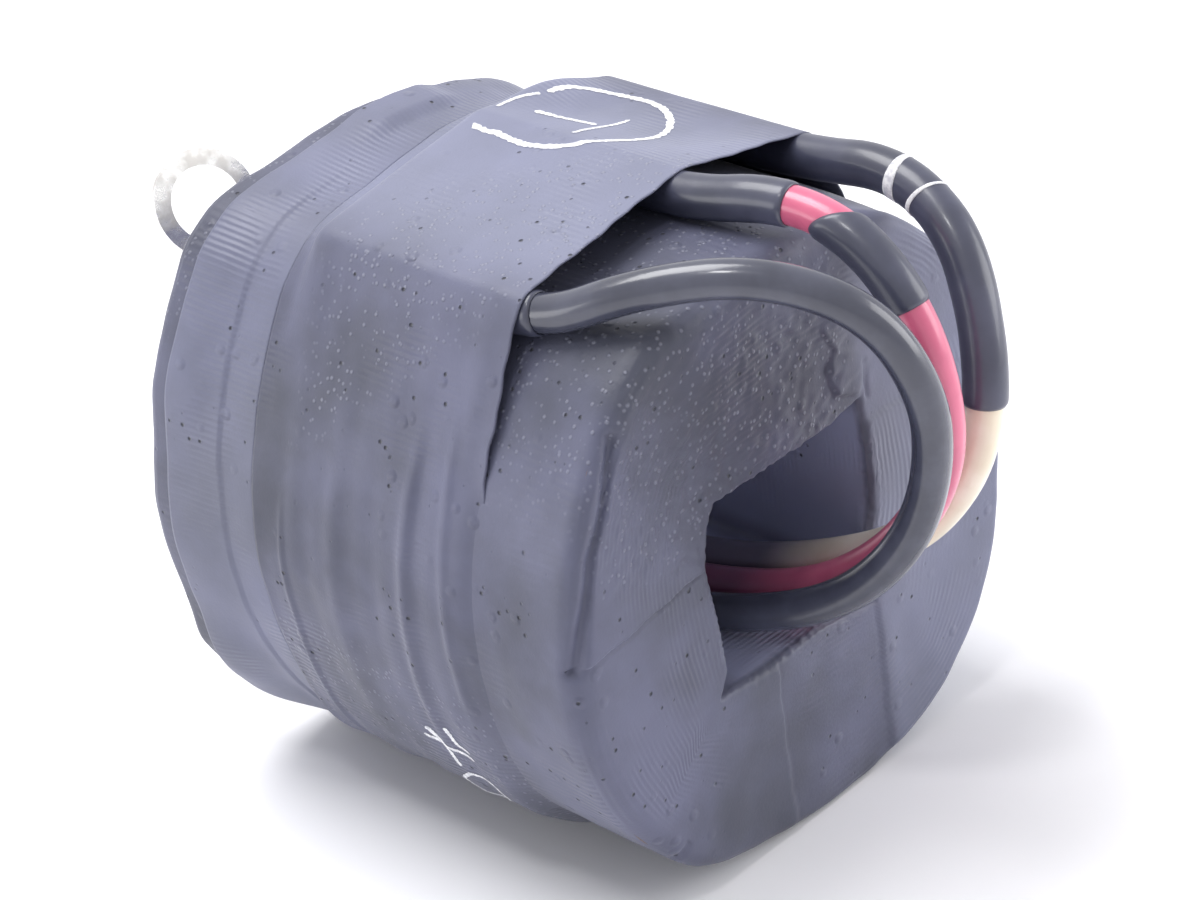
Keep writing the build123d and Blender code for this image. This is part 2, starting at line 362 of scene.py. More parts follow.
def finish_with(tree: Tree, settings: dict[str, object], links: dict[str, Socket]) -> None:
    """Ends a tree in a principled shader.

    Args:
        tree: Node tree.
        settings: Constant values of the shader.
        links: Sockets that feed the shader.
    """
    shader = add_node(tree, "BsdfPrincipled", settings, links)
    add_node(tree, "OutputMaterial", links={"Surface": shader.outputs["BSDF"]})


@dataclass(frozen=True)
class Cloud:
    """Loose clouds of noise: waves per metre, octaves, and the noise that becomes 0 and 1."""

    scale: float
    detail: float
    low: float
    high: float
    roughness: float = 0.55

    def build(self, tree: Tree, place: Socket) -> Socket:
        """Adds the clouds.

        Args:
            tree: Node tree.
            place: Coordinates in metres.

        Returns:
            Socket with the clouds, from 0 to 1.
        """
        waves = noise(tree, place, self.scale, self.detail, self.roughness)
        return ramp(tree, waves, self.low, self.high)


@dataclass(frozen=True)
class Spots:
    """Round spots in some cells of a cell pattern.

    The values are cells per metre, a spot's radius in cells, the share of the cells that stay
    empty, and a spot's height in metres, negative for a pit.
    """

    cells: float
    radius: float
    empty: float
    height: float

    def build(self, tree: Tree, place: Socket, where: Socket) -> Socket:
        """Adds the spots.

        Args:
            tree: Node tree.
            place: Coordinates in metres.
            where: Socket that is 1 where there may be spots.

        Returns:
            Socket that is 1 in the middle of each spot.
        """
        settings = {"Scale": self.cells, "Randomness": 1.0}
        cells = add_node(tree, "TexVoronoi", settings, {"Vector": place})
        inside = ramp(tree, cells.outputs["Distance"], self.radius, self.radius * 0.25)
        lot = add_node(tree, "SeparateColor", links={"Color": cells.outputs["Color"]}).outputs["Red"]
        chosen = combine(tree, "MULTIPLY", inside, ramp(tree, lot, self.empty, self.empty + 0.05))
        return combine(tree, "MULTIPLY", chosen, where)


@dataclass(frozen=True)
class FrictionTape:
    """Bitumen-proofed cotton tape, stretched on by hand and varnished.

    The cloth's ribs print through the coating in fine lines, and the varnish leaves pits and
    small blisters. Where the attribute "pitted" is high they crowd together and glisten, with
    pale flecks that are partly pale chips and partly painted glints. Where the paleness attribute
    is high the tape is paler; inside the window that pale colour is painted light.
    """

    name: str = "friction_tape"
    dark: str = "#454755"
    dusty: str = "#60627a"
    # Pale colour where the paleness is high; inside the window it is painted light on the shaded walls.
    pale: str = "#a2a6c2"
    # Pale flecks on the specks: partly pale chips, partly painted glints.
    fleck: str = "#9799ab"
    fleck_share: float = 0.45
    pit: str = "#2b2d38"
    rib_pitch: float = 0.85
    rib_depth: float = 0.06 * MM
    grain: float = 2600.0
    grain_depth: float = 0.035 * MM
    noise_roughness: float = 0.55
    wear: Cloud = Cloud(42.0, 5.0, 0.3, 0.72)
    crowds: Cloud = Cloud(48.0, 2.0, 0.44, 0.58)
    rib_patches: Cloud = Cloud(60.0, 3.0, 0.44, 0.64)
    pits: Spots = Spots(560.0, 0.2, 0.66, -0.3 * MM)
    blisters: Spots = Spots(330.0, 0.34, 0.68, 0.2 * MM)
    specks: Spots = Spots(1150.0, 0.42, 0.45, 0.12 * MM)

    def build(self) -> bpy.types.Material:
        """Builds the material.

        Returns:
            The material.
        """
        material, tree = new_material(self.name)
        place = add_node(tree, "TexCoord").outputs["Object"]
        pitted = add_node(tree, "Attribute", {"attribute_name": "pitted"}).outputs["Fac"]
        # Paleness, which inside the window is painted light.
        dust = add_node(tree, "Attribute", {"attribute_name": "dust"}).outputs["Fac"]
        crowd = combine(tree, "MAXIMUM", self.crowds.build(tree, place), pitted)
        pits = self.pits.build(tree, place, crowd)
        blisters = self.blisters.build(tree, place, crowd)
        specks = self.specks.build(tree, place, pitted)
        grain = noise(tree, place, self.grain, 4.0, self.noise_roughness)
        normal = bump(tree, self.ribs(tree, place), self.rib_depth)
        normal = bump(tree, grain, self.grain_depth, normal)
        normal = bump(tree, blisters, self.blisters.height, normal)
        normal = bump(tree, specks, self.specks.height, normal)
        normal = bump(tree, pits, self.pits.height, normal)
        settings = {"IOR": 1.5, "Specular IOR Level": 0.42, "Sheen Weight": 0.1, "Sheen Roughness": 0.45}
        worn = colour_mix(tree, self.wear.build(tree, place), self.dark, self.dusty)
        paler = colour_mix(tree, dust, worn, self.pale)
        # Pale flecks on the specks, partly painted glints.
        some = add_node(tree, "MapRange", {"To Max": self.fleck_share}, {"Value": specks})
        flecked = colour_mix(tree, some.outputs["Result"], paler, self.fleck)
        links = {
            "Base Color": colour_mix(tree, pits, flecked, self.pit),
            "Roughness": self.gloss(tree, place, specks),
            "Normal": normal,
        }
        finish_with(tree, settings, links)
        return material

    def gloss(self, tree: Tree, place: Socket, specks: Socket) -> Socket:
        """Roughness with glossier patches and glistening specks.

        Args:
            tree: Node tree.
            place: Coordinates in metres.
            specks: Where the specks are.

        Returns:
            Socket with the roughness.
        """
        settings = {"From Min": 0.35, "From Max": 0.7, "To Min": 0.56, "To Max": 0.38}
        broad = noise(tree, place, 60.0, 4.0, self.noise_roughness)
        base = add_node(tree, "MapRange", settings, {"Value": broad}).outputs["Result"]
        less = add_node(tree, "MapRange", {"To Max": -0.2}, {"Value": specks}).outputs["Result"]
        return combine(tree, "ADD", base, less)

    def ribs(self, tree: Tree, place: Socket) -> Socket:
        """Ribs of the cloth, which show through in patches.

        Args:
            tree: Node tree.
            place: Coordinates in metres.

        Returns:
            Socket with the height of the ribs.
        """
        uv = add_node(tree, "UVMap", {"uv_map": "tape_mm"}).outputs["UV"]
        scale = 2 * math.pi / (20 * self.rib_pitch)
        wave = {"Scale": scale, "Distortion": 2.2, "Detail": 2.0, "Detail Scale": 0.2}
        lines = add_node(tree, "TexWave", wave, {"Vector": uv}).outputs["Fac"]
        return combine(tree, "MULTIPLY", lines, self.rib_patches.build(tree, place))


@dataclass(frozen=True)
class Insulation:
    """Extruded insulation of a lead or sleeve: smooth and glossy, slightly uneven.

    Low down and behind the front of the coil, where the coil shades it, it is darkened by painted shade.
    """

    name: str
    colour: str
    shade: str
    # Painted shade: the darker colour that the lead takes inside the window and behind the coil.
    painted_shade: str = "#34353f"
    roughness: float = 0.3
    coat: float = 0.35
    shade_from: float = -35.0 * MM
    shade_full: float = -24.0 * MM
    unshaded_above: float = 62.0 * MM
    shade_below: float = 52.0 * MM

    def build(self) -> bpy.types.Material:
        """Builds the material.

        Returns:
            The material.
        """
        material, tree = new_material(self.name)
        place = add_node(tree, "TexCoord").outputs["Object"]
        low = add_node(tree, "SeparateXYZ", links={"Vector": place})
        # Mask of the painted shade: behind the coil's front and below its top.
        inside = ramp(tree, low.outputs["Y"], self.shade_from, self.shade_full)
        under = ramp(tree, low.outputs["Z"], self.unshaded_above, self.shade_below)
        cloud = noise(tree, place, 130.0, 4.0)
        speck = noise(tree, place, 1800.0, 3.0)
        shaded = combine(tree, "MULTIPLY", inside, under)
        colour = colour_mix(tree, ramp(tree, cloud, 0.35, 0.7), self.colour, self.shade)
        colour = colour_mix(tree, shaded, colour, self.painted_shade)
        normal = bump(tree, cloud, 0.12 * MM)
        normal = bump(tree, speck, 0.012 * MM, normal)
        settings = {
            "Roughness": self.roughness,
            "IOR": 1.5,
            "Coat Weight": self.coat,
            "Coat Roughness": 0.12,
        }
        finish_with(tree, settings, {"Base Color": colour, "Normal": normal})
        return material


@dataclass(frozen=True)
class TinnedCopper:
    """Stamped copper with a tin plate: bright, with duller clouds and small dents."""

    name: str = "tinned_copper"
    bright: str = "#fbfaf8"
    dull: str = "#d9d6d2"

    def build(self) -> bpy.types.Material:
        """Builds the material.

        Returns:
            The material.
        """
        material, tree = new_material(self.name)
        place = add_node(tree, "TexCoord").outputs["Object"]
        cloud = noise(tree, place, 420.0, 5.0)
        colour = colour_mix(tree, ramp(tree, cloud, 0.4, 0.65), self.bright, self.dull)
        settings = {"From Min": 0.35, "From Max": 0.7, "To Min": 0.2, "To Max": 0.42}
        rough = add_node(tree, "MapRange", settings, {"Value": cloud}).outputs["Result"]
        links = {"Base Color": colour, "Roughness": rough, "Normal": bump(tree, cloud, 0.06 * MM)}
        finish_with(tree, {"Metallic": 1.0}, links)
        return material


@dataclass(frozen=True)
class PlainSheet:
    """Pressed board, insulation sheet or enamelled wire inside the coil."""

    name: str
    colour: str
    shade: str
    grain: float
    roughness: float = 0.6

    def build(self) -> bpy.types.Material:
        """Builds the material.

        Returns:
            The material.
        """
        material, tree = new_material(self.name)
        place = add_node(tree, "TexCoord").outputs["Object"]
        grain = noise(tree, place, self.grain, 4.0)
        colour = colour_mix(tree, ramp(tree, grain, 0.3, 0.7), self.colour, self.shade)
        normal = bump(tree, grain, 0.03 * MM)
        finish_with(tree, {"Roughness": self.roughness}, {"Base Color": colour, "Normal": normal})
        return material


@dataclass(frozen=True)
class MarkerPaint:
    """White paint-pen marks, dry and a little broken."""

    name: str = "marker_paint"
    colour: str = "#f4f4f6"
    shade: str = "#c2c3cc"

    def build(self) -> bpy.types.Material:
        """Builds the material.

        Returns:
            The material.
        """
        return PlainSheet(self.name, self.colour, self.shade, 1500.0, 0.55).build()


class Finishes:
    """All materials of the object, built once."""

    def __init__(self) -> None:
        """Builds every material."""
        self.tape = FrictionTape().build()
        self.sleeve = Insulation("black_sleeve", "#3c3e4f", "#494b5e", roughness=0.34, coat=0.25).build()
        self.leads = {
            LeadName.BLACK: Insulation("black_lead", "#3b3d4c", "#494b5b", roughness=0.26, coat=0.5).build(),
            # The fourth colour of the red and cream leads is their painted shade inside the window.
            LeadName.RED: Insulation("red_lead", "#d86a8a", "#c95c7e", "#74465e").build(),
            LeadName.CREAM: Insulation("cream_lead", "#f4eadb", "#e6d9c2", "#66616f").build(),
        }
        self.tin = TinnedCopper().build()
        self.paint = MarkerPaint().build()
        self.board = PlainSheet("pressed_board", "#8a6a48", "#6f5337", 900.0).build()
        self.sheet = PlainSheet("insulation_sheet", "#c7b58c", "#b39f74", 700.0).build()
        self.wire = PlainSheet("enamelled_wire", "#9c4a2a", "#7b361d", 1200.0, 0.3).build()


class Waves:
    """A smooth random field: a sum of plane waves with seeded directions."""

    def __init__(self, seed: int, wavelength: float, count: int = 14) -> None:
        """Draws the waves.

        Args:
            seed: Seed of the field.
            wavelength: Mean wavelength in metres.
            count: Number of waves.
        """
        draw = np.random.default_rng(seed)
        directions = draw.normal(size=(count, 3))
        directions /= np.linalg.norm(directions, axis=1, keepdims=True)
        lengths = wavelength * draw.uniform(0.7, 1.5, size=(count, 1))
        self.waves = directions * 2 * math.pi / lengths
        self.phases = draw.uniform(0, 2 * math.pi, size=count)

    def at(self, points: Array) -> Array:
        """Value of the field, mostly from -1 to 1.

        Args:
            points: Array whose last axis holds X, Y and Z.

        Returns:
            Array of the values.
        """
        total = np.sin(points @ self.waves.T + self.phases).sum(axis=-1)
        return total / math.sqrt(2 * len(self.phases))


def smooth(value: Array) -> Array:
    """Smooth step from 0 to 1.

    Args:
        value: Values, clamped to 0..1.

    Returns:
        The eased values.
    """
    value = np.clip(value, 0.0, 1.0)
    return value * value * (3 - 2 * value)


def add_object(name: str, data: bpy.types.ID) -> bpy.types.Object:
    """Adds an object to the scene.

    Args:
        name: Name of the object.
        data: Its mesh, curve, camera or light.

    Returns:
        The new object.
    """
    obj = bpy.data.objects.new(name, data)
    bpy.context.scene.collection.objects.link(obj)
    return obj


def grid_object(
    name: str,
    points: Array,
    corners: Array,
    material: bpy.types.Material,
    fields: dict[str, Array] | None = None,
) -> bpy.types.Object:
    """Makes a mesh from a grid that closes on itself both ways.

    Args:
        name: Name of the object.
        points: Array of rows, columns and coordinates.
        corners: Texture place in mm of the four corners of each face.
        material: Material of the mesh.
        fields: Value at each point, by the name of the attribute.

    Returns:
        The new object.
    """
    rows, columns = points.shape[:2]
    index = np.arange(rows * columns).reshape(rows, columns)
    right = np.roll(index, -1, axis=1)
    quads = np.stack([index, right, np.roll(right, -1, axis=0), np.roll(index, -1, axis=0)], axis=-1)
    mesh = bpy.data.meshes.new(name)
    mesh.from_pydata(points.reshape(-1, 3).tolist(), [], quads.reshape(-1, 4).tolist())
    layer = mesh.uv_layers.new(name="tape_mm")
    layer.data.foreach_set("uv", corners.reshape(-1).astype(np.float32))
    for field, values in (fields or {}).items():
        attribute = mesh.attributes.new(field, "FLOAT", "POINT")
        attribute.data.foreach_set("value", values.reshape(-1).astype(np.float32))
    mesh.materials.append(material)
    mesh.shade_smooth()
    return add_object(name, mesh)


def fasten(piece: bpy.types.Object, slot: str, replaced: str | None = None) -> None:
    """Ties a piece to the frame.

    Args:
        piece: The piece.
        slot: Material slot of the record.
        replaced: CAD node that the piece replaces, if any.
    """
    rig.ride(piece, "root")
    if replaced is not None:
        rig.replaces(piece, replaced)
    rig.slot(piece, slot)


def face_corners(across: Array, around: Array) -> Array:
    """Texture places of the four corners of each face of a grid.

    Args:
        across: Place of each column, with one more at the end.
        around: Place of each row, with one more at the end.

    Returns:
        Array of rows, columns, four corners and two values.
    """
    both = np.stack(np.meshgrid(across, around), axis=-1)
    return np.stack([both[:-1, :-1], both[:-1, 1:], both[1:, 1:], both[1:, :-1]], axis=2)


def dense_turn(count: int) -> Array:
    """Angles all the way round, closer together on the side that faces the camera.

    Args:
        count: Number of angles.

    Returns:
        Rising angles in radians.
    """
    turn = np.linspace(-math.pi, math.pi, count, endpoint=False)
    closest = math.radians(165)
    return turn - 0.3 * (np.sin(turn - closest) - math.sin(-math.pi - closest))


def polygon_radius(corners: Array, theta: Array) -> Array:
    """Distance from the origin to a polygon's edge in given directions.

    Args:
        corners: Corners around the origin, anticlockwise.
        theta: Directions in radians.

    Returns:
        Distances.
    """
    second = np.roll(corners, -1, axis=0)
    starts = np.arctan2(corners[:, 1], corners[:, 0])
    order = np.argsort(starts)
    starts, first, second = starts[order], corners[order], second[order]
    wrapped = (theta + math.pi) % (2 * math.pi) - math.pi
    index = (np.searchsorted(starts, wrapped, side="right") - 1) % len(starts)
    a, edge = first[index], second[index] - first[index]
    cross = a[..., 0] * edge[..., 1] - a[..., 1] * edge[..., 0]
    return cross / (np.cos(wrapped) * edge[..., 1] - np.sin(wrapped) * edge[..., 0])


class CoilForm:
    """Outer and window shapes of the taped coil, as radii around the window's axis."""

    # Radius of the front rim by angle from +X towards +Z, in degrees and mm, off the photo.
    rim_marks = (
        (-146, 41.8), (-125, 42.8), (-109, 41.2), (-96, 40.4), (-84, 40.9), (-70, 41.9),
        (-54, 43.6), (-42, 43.6), (-28, 42.2), (-15, 40.7), (0, 40.0), (15, 40.2), (28, 40.9),
        (42, 42.0), (56, 43.2), (66, 42.6), (78, 41.0), (92, 40.6), (106, 41.3), (119, 43.6),
        (128, 43.4), (139, 41.9), (153, 40.9), (170, 40.4), (187, 40.4), (201, 41.0),
    )
    window_half = 14.2 * MM
    window_power = 9.0
    # Corners of the window's front mouth, in mm from its axis, off the photo.
    mouth_corners = (
        (14.0, -2.0), (14.2, 5.8), (13.8, 14.0), (8.0, 12.9), (-4.3, 13.2), (-13.6, 13.0),
        (-15.2, 10.0), (-16.2, 5.4), (-15.0, -4.0), (-14.6, -10.2), (-16.5, -13.6),
        (-6.9, -13.9), (1.7, -13.5), (12.6, -15.3), (12.9, -5.7),
    )
    mouth_from = -32.0 * MM
    mouth_depth = 4.5 * MM
    rear_swell = 1.9 * MM
    swell_from = 25.0 * MM
    swell_length = 10.0 * MM

    def __init__(self) -> None:
        """Closes the table of rim radii and draws the unevenness of the taping."""
        angles, radii = zip(*self.rim_marks)
        self.angles = np.array([a - 360 for a in angles] + list(angles) + [a + 360 for a in angles])
        self.radii = np.array(list(radii) * 3)
        self.lumps = Waves(11, 22 * MM)
        self.ripples = Waves(12, 5 * MM)
        self.grit = Waves(13, 1.6 * MM, 24)

    def outer(self, theta: Array) -> Array:
        """Radius of the taped outside.

        Args:
            theta: Angles in radians.

        Returns:
            Radii in metres.
        """
        degrees = np.degrees(theta)
        fine = np.linspace(-540, 540, 2161)
        table = np.interp(fine, self.angles, self.radii)
        window = np.hanning(19)
        table = np.convolve(table, window / window.sum(), mode="same")
        wrapped = (degrees + 180) % 360 - 180
        return np.interp(wrapped, fine, table) * MM

    def window(self, theta: Array, y: Array) -> Array:
        """Radius of the window's wall: a square that frays out of shape at its front mouth.

        Args:
            theta: Angles in radians.
            y: Positions along the window's axis.

        Returns:
            Radii in metres.
        """
        power = 2 * self.window_power
        total = np.abs(np.cos(theta)) ** power + np.abs(np.sin(theta)) ** power
        square = self.window_half * total ** (-1 / power)
        mouth = polygon_radius(np.array(self.mouth_corners) * MM, theta)
        share = smooth((self.mouth_from - y) / self.mouth_depth)
        return square + (mouth - square) * share

    def skin(self, theta: Array, y: Array) -> Array:
        """Radius of the taped outside with its lumps and its fuller rear end.

        Args:
            theta: Angles in radians.
            y: Positions along the window's axis.

        Returns:
            Radii in metres.
        """
        swell = self.rear_swell * smooth((y - self.swell_from) / self.swell_length)
        raised = smooth((np.sin(theta) + 0.95) / 0.3) * (1 - 0.6 * smooth((np.sin(theta) - 0.75) / 0.2))
        flat = 1 - 0.7 * smooth((-np.cos(theta) - 0.88) / 0.09)
        radius = self.outer(theta) + swell * raised * flat
        place = self.place(theta, radius, y)
        return radius + 0.3 * MM * self.lumps.at(place) + 0.05 * MM * self.ripples.at(place)

    def place(self, theta: Array, radius: Array, y: Array) -> Array:
        """Points in the row frame from ring coordinates.

        Args:
            theta: Angles in radians.
            radius: Radii in metres.
            y: Positions along the window's axis.

        Returns:
            Array of points.
        """
        x = radius * np.cos(theta)
        z = radius * np.sin(theta) + AXIS_HEIGHT
        return np.stack(np.broadcast_arrays(x, y, z), axis=-1)


@dataclass(frozen=True)
class Seam:
    """Edge of a tape turn on the front face, where one side stands proud.

    The edge runs from (x0, z0) to (x1, z1) in mm from the window's axis. The proud side is on
    its left, looking from the first point to the second.
    """

    x0: float
    z0: float
    x1: float
    z1: float
    height: float = 0.38
    fade: float = 8.0
    crease: float = 0.06

    def rise(self, x: Array, z: Array) -> Array:
        """Height of the face beside this seam, with the crease along it.

        Args:
            x: X in mm.
            z: Z in mm from the window's axis.

        Returns:
            Heights in mm.
        """
        length = math.hypot(self.x1 - self.x0, self.z1 - self.z0)
        along_x = (self.x1 - self.x0) / length
        along_z = (self.z1 - self.z0) / length
        along = (x - self.x0) * along_x + (z - self.z0) * along_z
        across = (z - self.z0) * along_x - (x - self.x0) * along_z
        across = across + 0.12 * np.sin(along * 0.9) + 0.04 * np.sin(along * 3.1 + 1)
        edge = smooth((across + 0.3) / 0.6) * np.exp(-np.clip(across, 0, None) / self.fade)
        inside = smooth((along + 1.0) / 1.4) * smooth((length + 1.0 - along) / 1.4)
        dip = self.crease * np.exp(-(((across + 0.15) / 0.3) ** 2))
        return (self.height * edge - dip) * inside


@dataclass(frozen=True)
class Fold:
    """Groove where the outer tape folds over the rim, as corners and its depth and width in mm."""

    corners: tuple[tuple[float, float], ...]
    depth: float
    width: float

    def dip(self, x: Array, z: Array) -> Array:
        """Depth of the groove.

        Args:
            x: X in mm.
            z: Z in mm from the window's axis.

        Returns:
            Depths in mm.
        """
        nearest = np.full(np.shape(x), 1e3)
        for (x0, z0), (x1, z1) in zip(self.corners, self.corners[1:]):
            dx, dz = x1 - x0, z1 - z0
            share = ((x - x0) * dx + (z - z0) * dz) / (dx * dx + dz * dz)
            share = np.clip(share, 0, 1)
            nearest = np.minimum(nearest, np.hypot(x - x0 - share * dx, z - z0 - share * dz))
        return self.depth * np.exp(-((nearest / self.width) ** 2))


class GroundWrap:
    """Tape wrapped through the window and around the whole coil."""

    front_depth = 37.0 * MM
    rear_flat = 37.4 * MM
    rear_depth = 40.4 * MM
    rear_rim = 2.3 * MM
    rim_tight = 1.7 * MM
    rim_loose = 3.4 * MM
    window_edge = 1.1 * MM
    fray_width = 1.2 * MM
    fray_depth = 0.22 * MM
    underside = 0.6 * MM
    # Where the coarse and the fine part of the window's wall end and start, along Y.
    coarse_wall_to = -28.0 * MM
    fine_wall_from = -31.0 * MM
    # The fine outside next to the face ends here, and the part under the bands is coarse.
    fine_outside_to = -16.0 * MM
    covered_from = -15.0 * MM
    covered_to = 33.0 * MM
    around = 480
    seams = (
        Seam(-39.8, 3.0, -17.5, 5.4, 0.4, 8.0, 0.3),
        Seam(-6.3, -38.8, -6.5, -14.9, 0.26),
        Seam(12.9, -16.1, 13.0, -38.4, 0.34),
        Seam(40.5, 10.3, 14.5, 10.6),
        Seam(7.7, 27.1, 9.7, 23.3, 0.5, 4.0),
        Seam(9.7, 23.3, 8.3, 20.9, 0.5, 4.0),
        Seam(8.3, 20.9, 9.2, 17.2, 0.5, 4.0),
        Seam(9.2, 17.2, 13.4, 14.9, 0.5, 4.0),
    )
    folds = (
        Fold(((-28.5, 30.0), (-31.8, 22.7), (-35.3, 16.6), (-38.0, 8.3), (-39.5, 2.6)), 0.9, 0.6),
        Fold(((15.2, 19.2), (15.5, 14.0)), 0.3, 0.4),
        Fold(((-16.8, 7.0), (-20.0, 9.0), (-22.0, 8.2)), 0.25, 0.6),
        Fold(((-26.0, -30.5), (-29.0, -34.0)), 0.35, 0.5),
    )

    def __init__(self, form: CoilForm, finishes: Finishes) -> None:
        """Builds the wrap.

        Args:
            form: Shapes of the coil.
            finishes: Materials.
        """
        self.form = form
        theta = dense_turn(self.around)
        radius, y = self.section(theta[:, None])
        points = form.place(theta[:, None], radius, y)
        points = self.uneven(points, theta, radius, y)
        points[..., 2] = np.maximum(points[..., 2], self.underside)
        fields = {"pitted": self.pitted(points), "dust": self.dust(points, radius)}
        corners = self.texture(points)
        self.piece = grid_object("taped_body", points, corners, finishes.tape, fields)
        fasten(self.piece, "black_tape", "ground_wrap")
        log.info("taped body with %d points", points.shape[0] * points.shape[1])

    def section(self, theta: Array) -> tuple[Array, Array]:
        """Closed section of the wrap at each angle: window, front, outside, rear.

        Args:
            theta: Column of angles in radians.

        Returns:
            Radius and Y of each point, by angle and by place along the section.
        """
        front, rear, edge = -self.front_depth, self.rear_depth, self.window_edge
        ones = np.ones_like(theta)
        side = smooth((np.cos(theta - math.radians(150)) + 0.1) / 0.5)
        rim = self.rim_tight + (self.rim_loose - self.rim_tight) * side
        back_rim = self.rear_rim * ones
        full = smooth((np.cos(theta - math.radians(150)) + 0.15) / 0.7)
        rear = self.rear_flat + (rear - self.rear_flat) * full
        corner = np.linspace(0, math.pi / 2, 5)[1:]
        bend = np.linspace(0, math.pi / 2, 16)[1:]
        flat = self.rear_flat
        deep_wall = np.linspace(flat - edge, self.coarse_wall_to, 10)
        wall = np.concatenate([deep_wall, np.linspace(self.fine_wall_from, front + edge, 9)])
        face = np.linspace(0, 1, 88)[1:]
        back_face = np.linspace(1, 0, 22)[1:]
        near = np.linspace(0, 1, 24)[1:]
        covered = np.linspace(self.covered_from, self.covered_to, 9)
        mouth = self.form.window(theta, front * ones)
        well = self.form.window(theta, flat * ones)
        front_skin = self.form.skin(theta, (front + rim))
        rear_skin = self.form.skin(theta, (rear - back_rim))
        near_y = front + rim + (self.fine_outside_to - front - rim) * near
        far_y = np.concatenate([ones * covered, rear - back_rim], axis=1)
        radius = [
            self.form.window(theta, ones * wall),
            mouth + edge * (1 - np.cos(corner)),
            mouth + edge + (front_skin - rim - mouth - edge) * face,
            front_skin - rim + rim * np.sin(bend),
            self.form.skin(theta, near_y),
            self.form.skin(theta, far_y),
            rear_skin - back_rim + back_rim * np.cos(bend),
            well + edge + (rear_skin - back_rim - well - edge) * back_face,
            (well + edge * (1 - np.sin(corner)))[:, :-1],
        ]
        y = [
            ones * wall,
            ones * (front + edge - edge * np.sin(corner)),
            front * ones * np.ones_like(face),
            front + rim - rim * np.cos(bend),
            near_y,
            far_y,
            rear - back_rim + back_rim * np.sin(bend),
            flat + (rear - flat) * smooth(back_face * 1.4),
            ones * (flat - edge + edge * np.cos(corner))[:-1],
        ]
        self.outside = (sum(part.shape[1] for part in y[:4]), sum(part.shape[1] for part in y[:6]))
        return np.concatenate(radius, axis=1), np.concatenate(y, axis=1)

    def uneven(self, points: Array, theta: Array, radius: Array, y: Array) -> Array:
        """Adds the seams, folds, lumps and ripples of the faces.

        Args:
            points: Points of the smooth form.
            theta: Angles in radians.
            radius: Radii of the points.
            y: Y of the points.

        Returns:
            The moved points.
        """
        x_mm = points[..., 0] / MM
        z_mm = (points[..., 2] - AXIS_HEIGHT) / MM
        rise = sum(seam.rise(x_mm, z_mm) for seam in self.seams)
        dip = sum(fold.dip(x_mm, z_mm) for fold in self.folds) * MM
        rise = rise * MM - dip
        rough = self.pitted(points) * 0.12 * MM * self.form.grit.at(points)
        soft = self.form.lumps.at(points) * 0.3 * MM + self.form.ripples.at(points) * 0.05 * MM
        front = smooth((-y - 33 * MM) / (3 * MM))
        back = smooth((y - 34 * MM) / (4 * MM))
        off_edge = radius - self.form.window(theta[:, None], y) - self.window_edge
        frayed = np.exp(-((off_edge / self.fray_width) ** 2))
        moved = points.copy()
        moved[..., 1] -= front * (rise + soft + rough)
        moved[..., 1] += back * soft
        shake = front * (frayed * self.fray_depth * self.form.grit.at(points * 1.7) - 0.7 * dip)
        moved[..., 0] += shake * np.cos(theta)[:, None]
        moved[..., 2] += shake * np.sin(theta)[:, None]
        return moved

    def pitted(self, points: Array) -> Array:
        """How pitted the tape is: most on the upper left of the face.

        Args:
            points: Points of the wrap.

        Returns:
            Values from 0 to 1.
        """
        x_mm = points[..., 0] / MM
        z_mm = (points[..., 2] - AXIS_HEIGHT) / MM
        upper = smooth((z_mm - 5 + 0.1 * x_mm) / 4) * smooth((14 - x_mm) / 6)
        return np.clip(upper * 0.85 * smooth((x_mm + 38) / 8), 0, 1)

    def dust(self, points: Array, radius: Array) -> Array:
        """How much paler the tape is painted: most inside the window, where the pale colour is painted light, then at
        the right of the face.

        Args:
            points: Points of the wrap.
            radius: Radii of the points.

        Returns:
            Values from 0 to 1.
        """
        x_mm = points[..., 0] / MM
        y_mm = points[..., 1] / MM
        # Inside the window the tape is painted paler: painted light on the shaded walls.
        inside = smooth((20.5 - radius / MM) / 3) * smooth((y_mm + 36.5) / 1.5)
        right = 0.22 * smooth((x_mm - 12) / 4) * smooth((-y_mm - 30) / 4)
        return np.clip(inside * 0.9 + right, 0, 1)

    def texture(self, points: Array) -> Array:
        """Texture places in mm, turned so that the ribs lie across each tape.

        Args:
            points: Grid of points.

        Returns:
            Texture place of each face's corners.
        """
        along = np.linalg.norm(np.roll(points, -1, axis=1) - points, axis=-1).mean(axis=0)
        around = np.linalg.norm(np.roll(points, -1, axis=0) - points, axis=-1).mean(axis=1)
        along = np.concatenate([[0], np.cumsum(along)]) / MM
        around = np.concatenate([[0], np.cumsum(around)]) / MM
        corners = face_corners(along, around)
        start, end = self.outside
        corners[:, start - 5 : end] = corners[:, start - 5 : end, :, ::-1]
        return corners


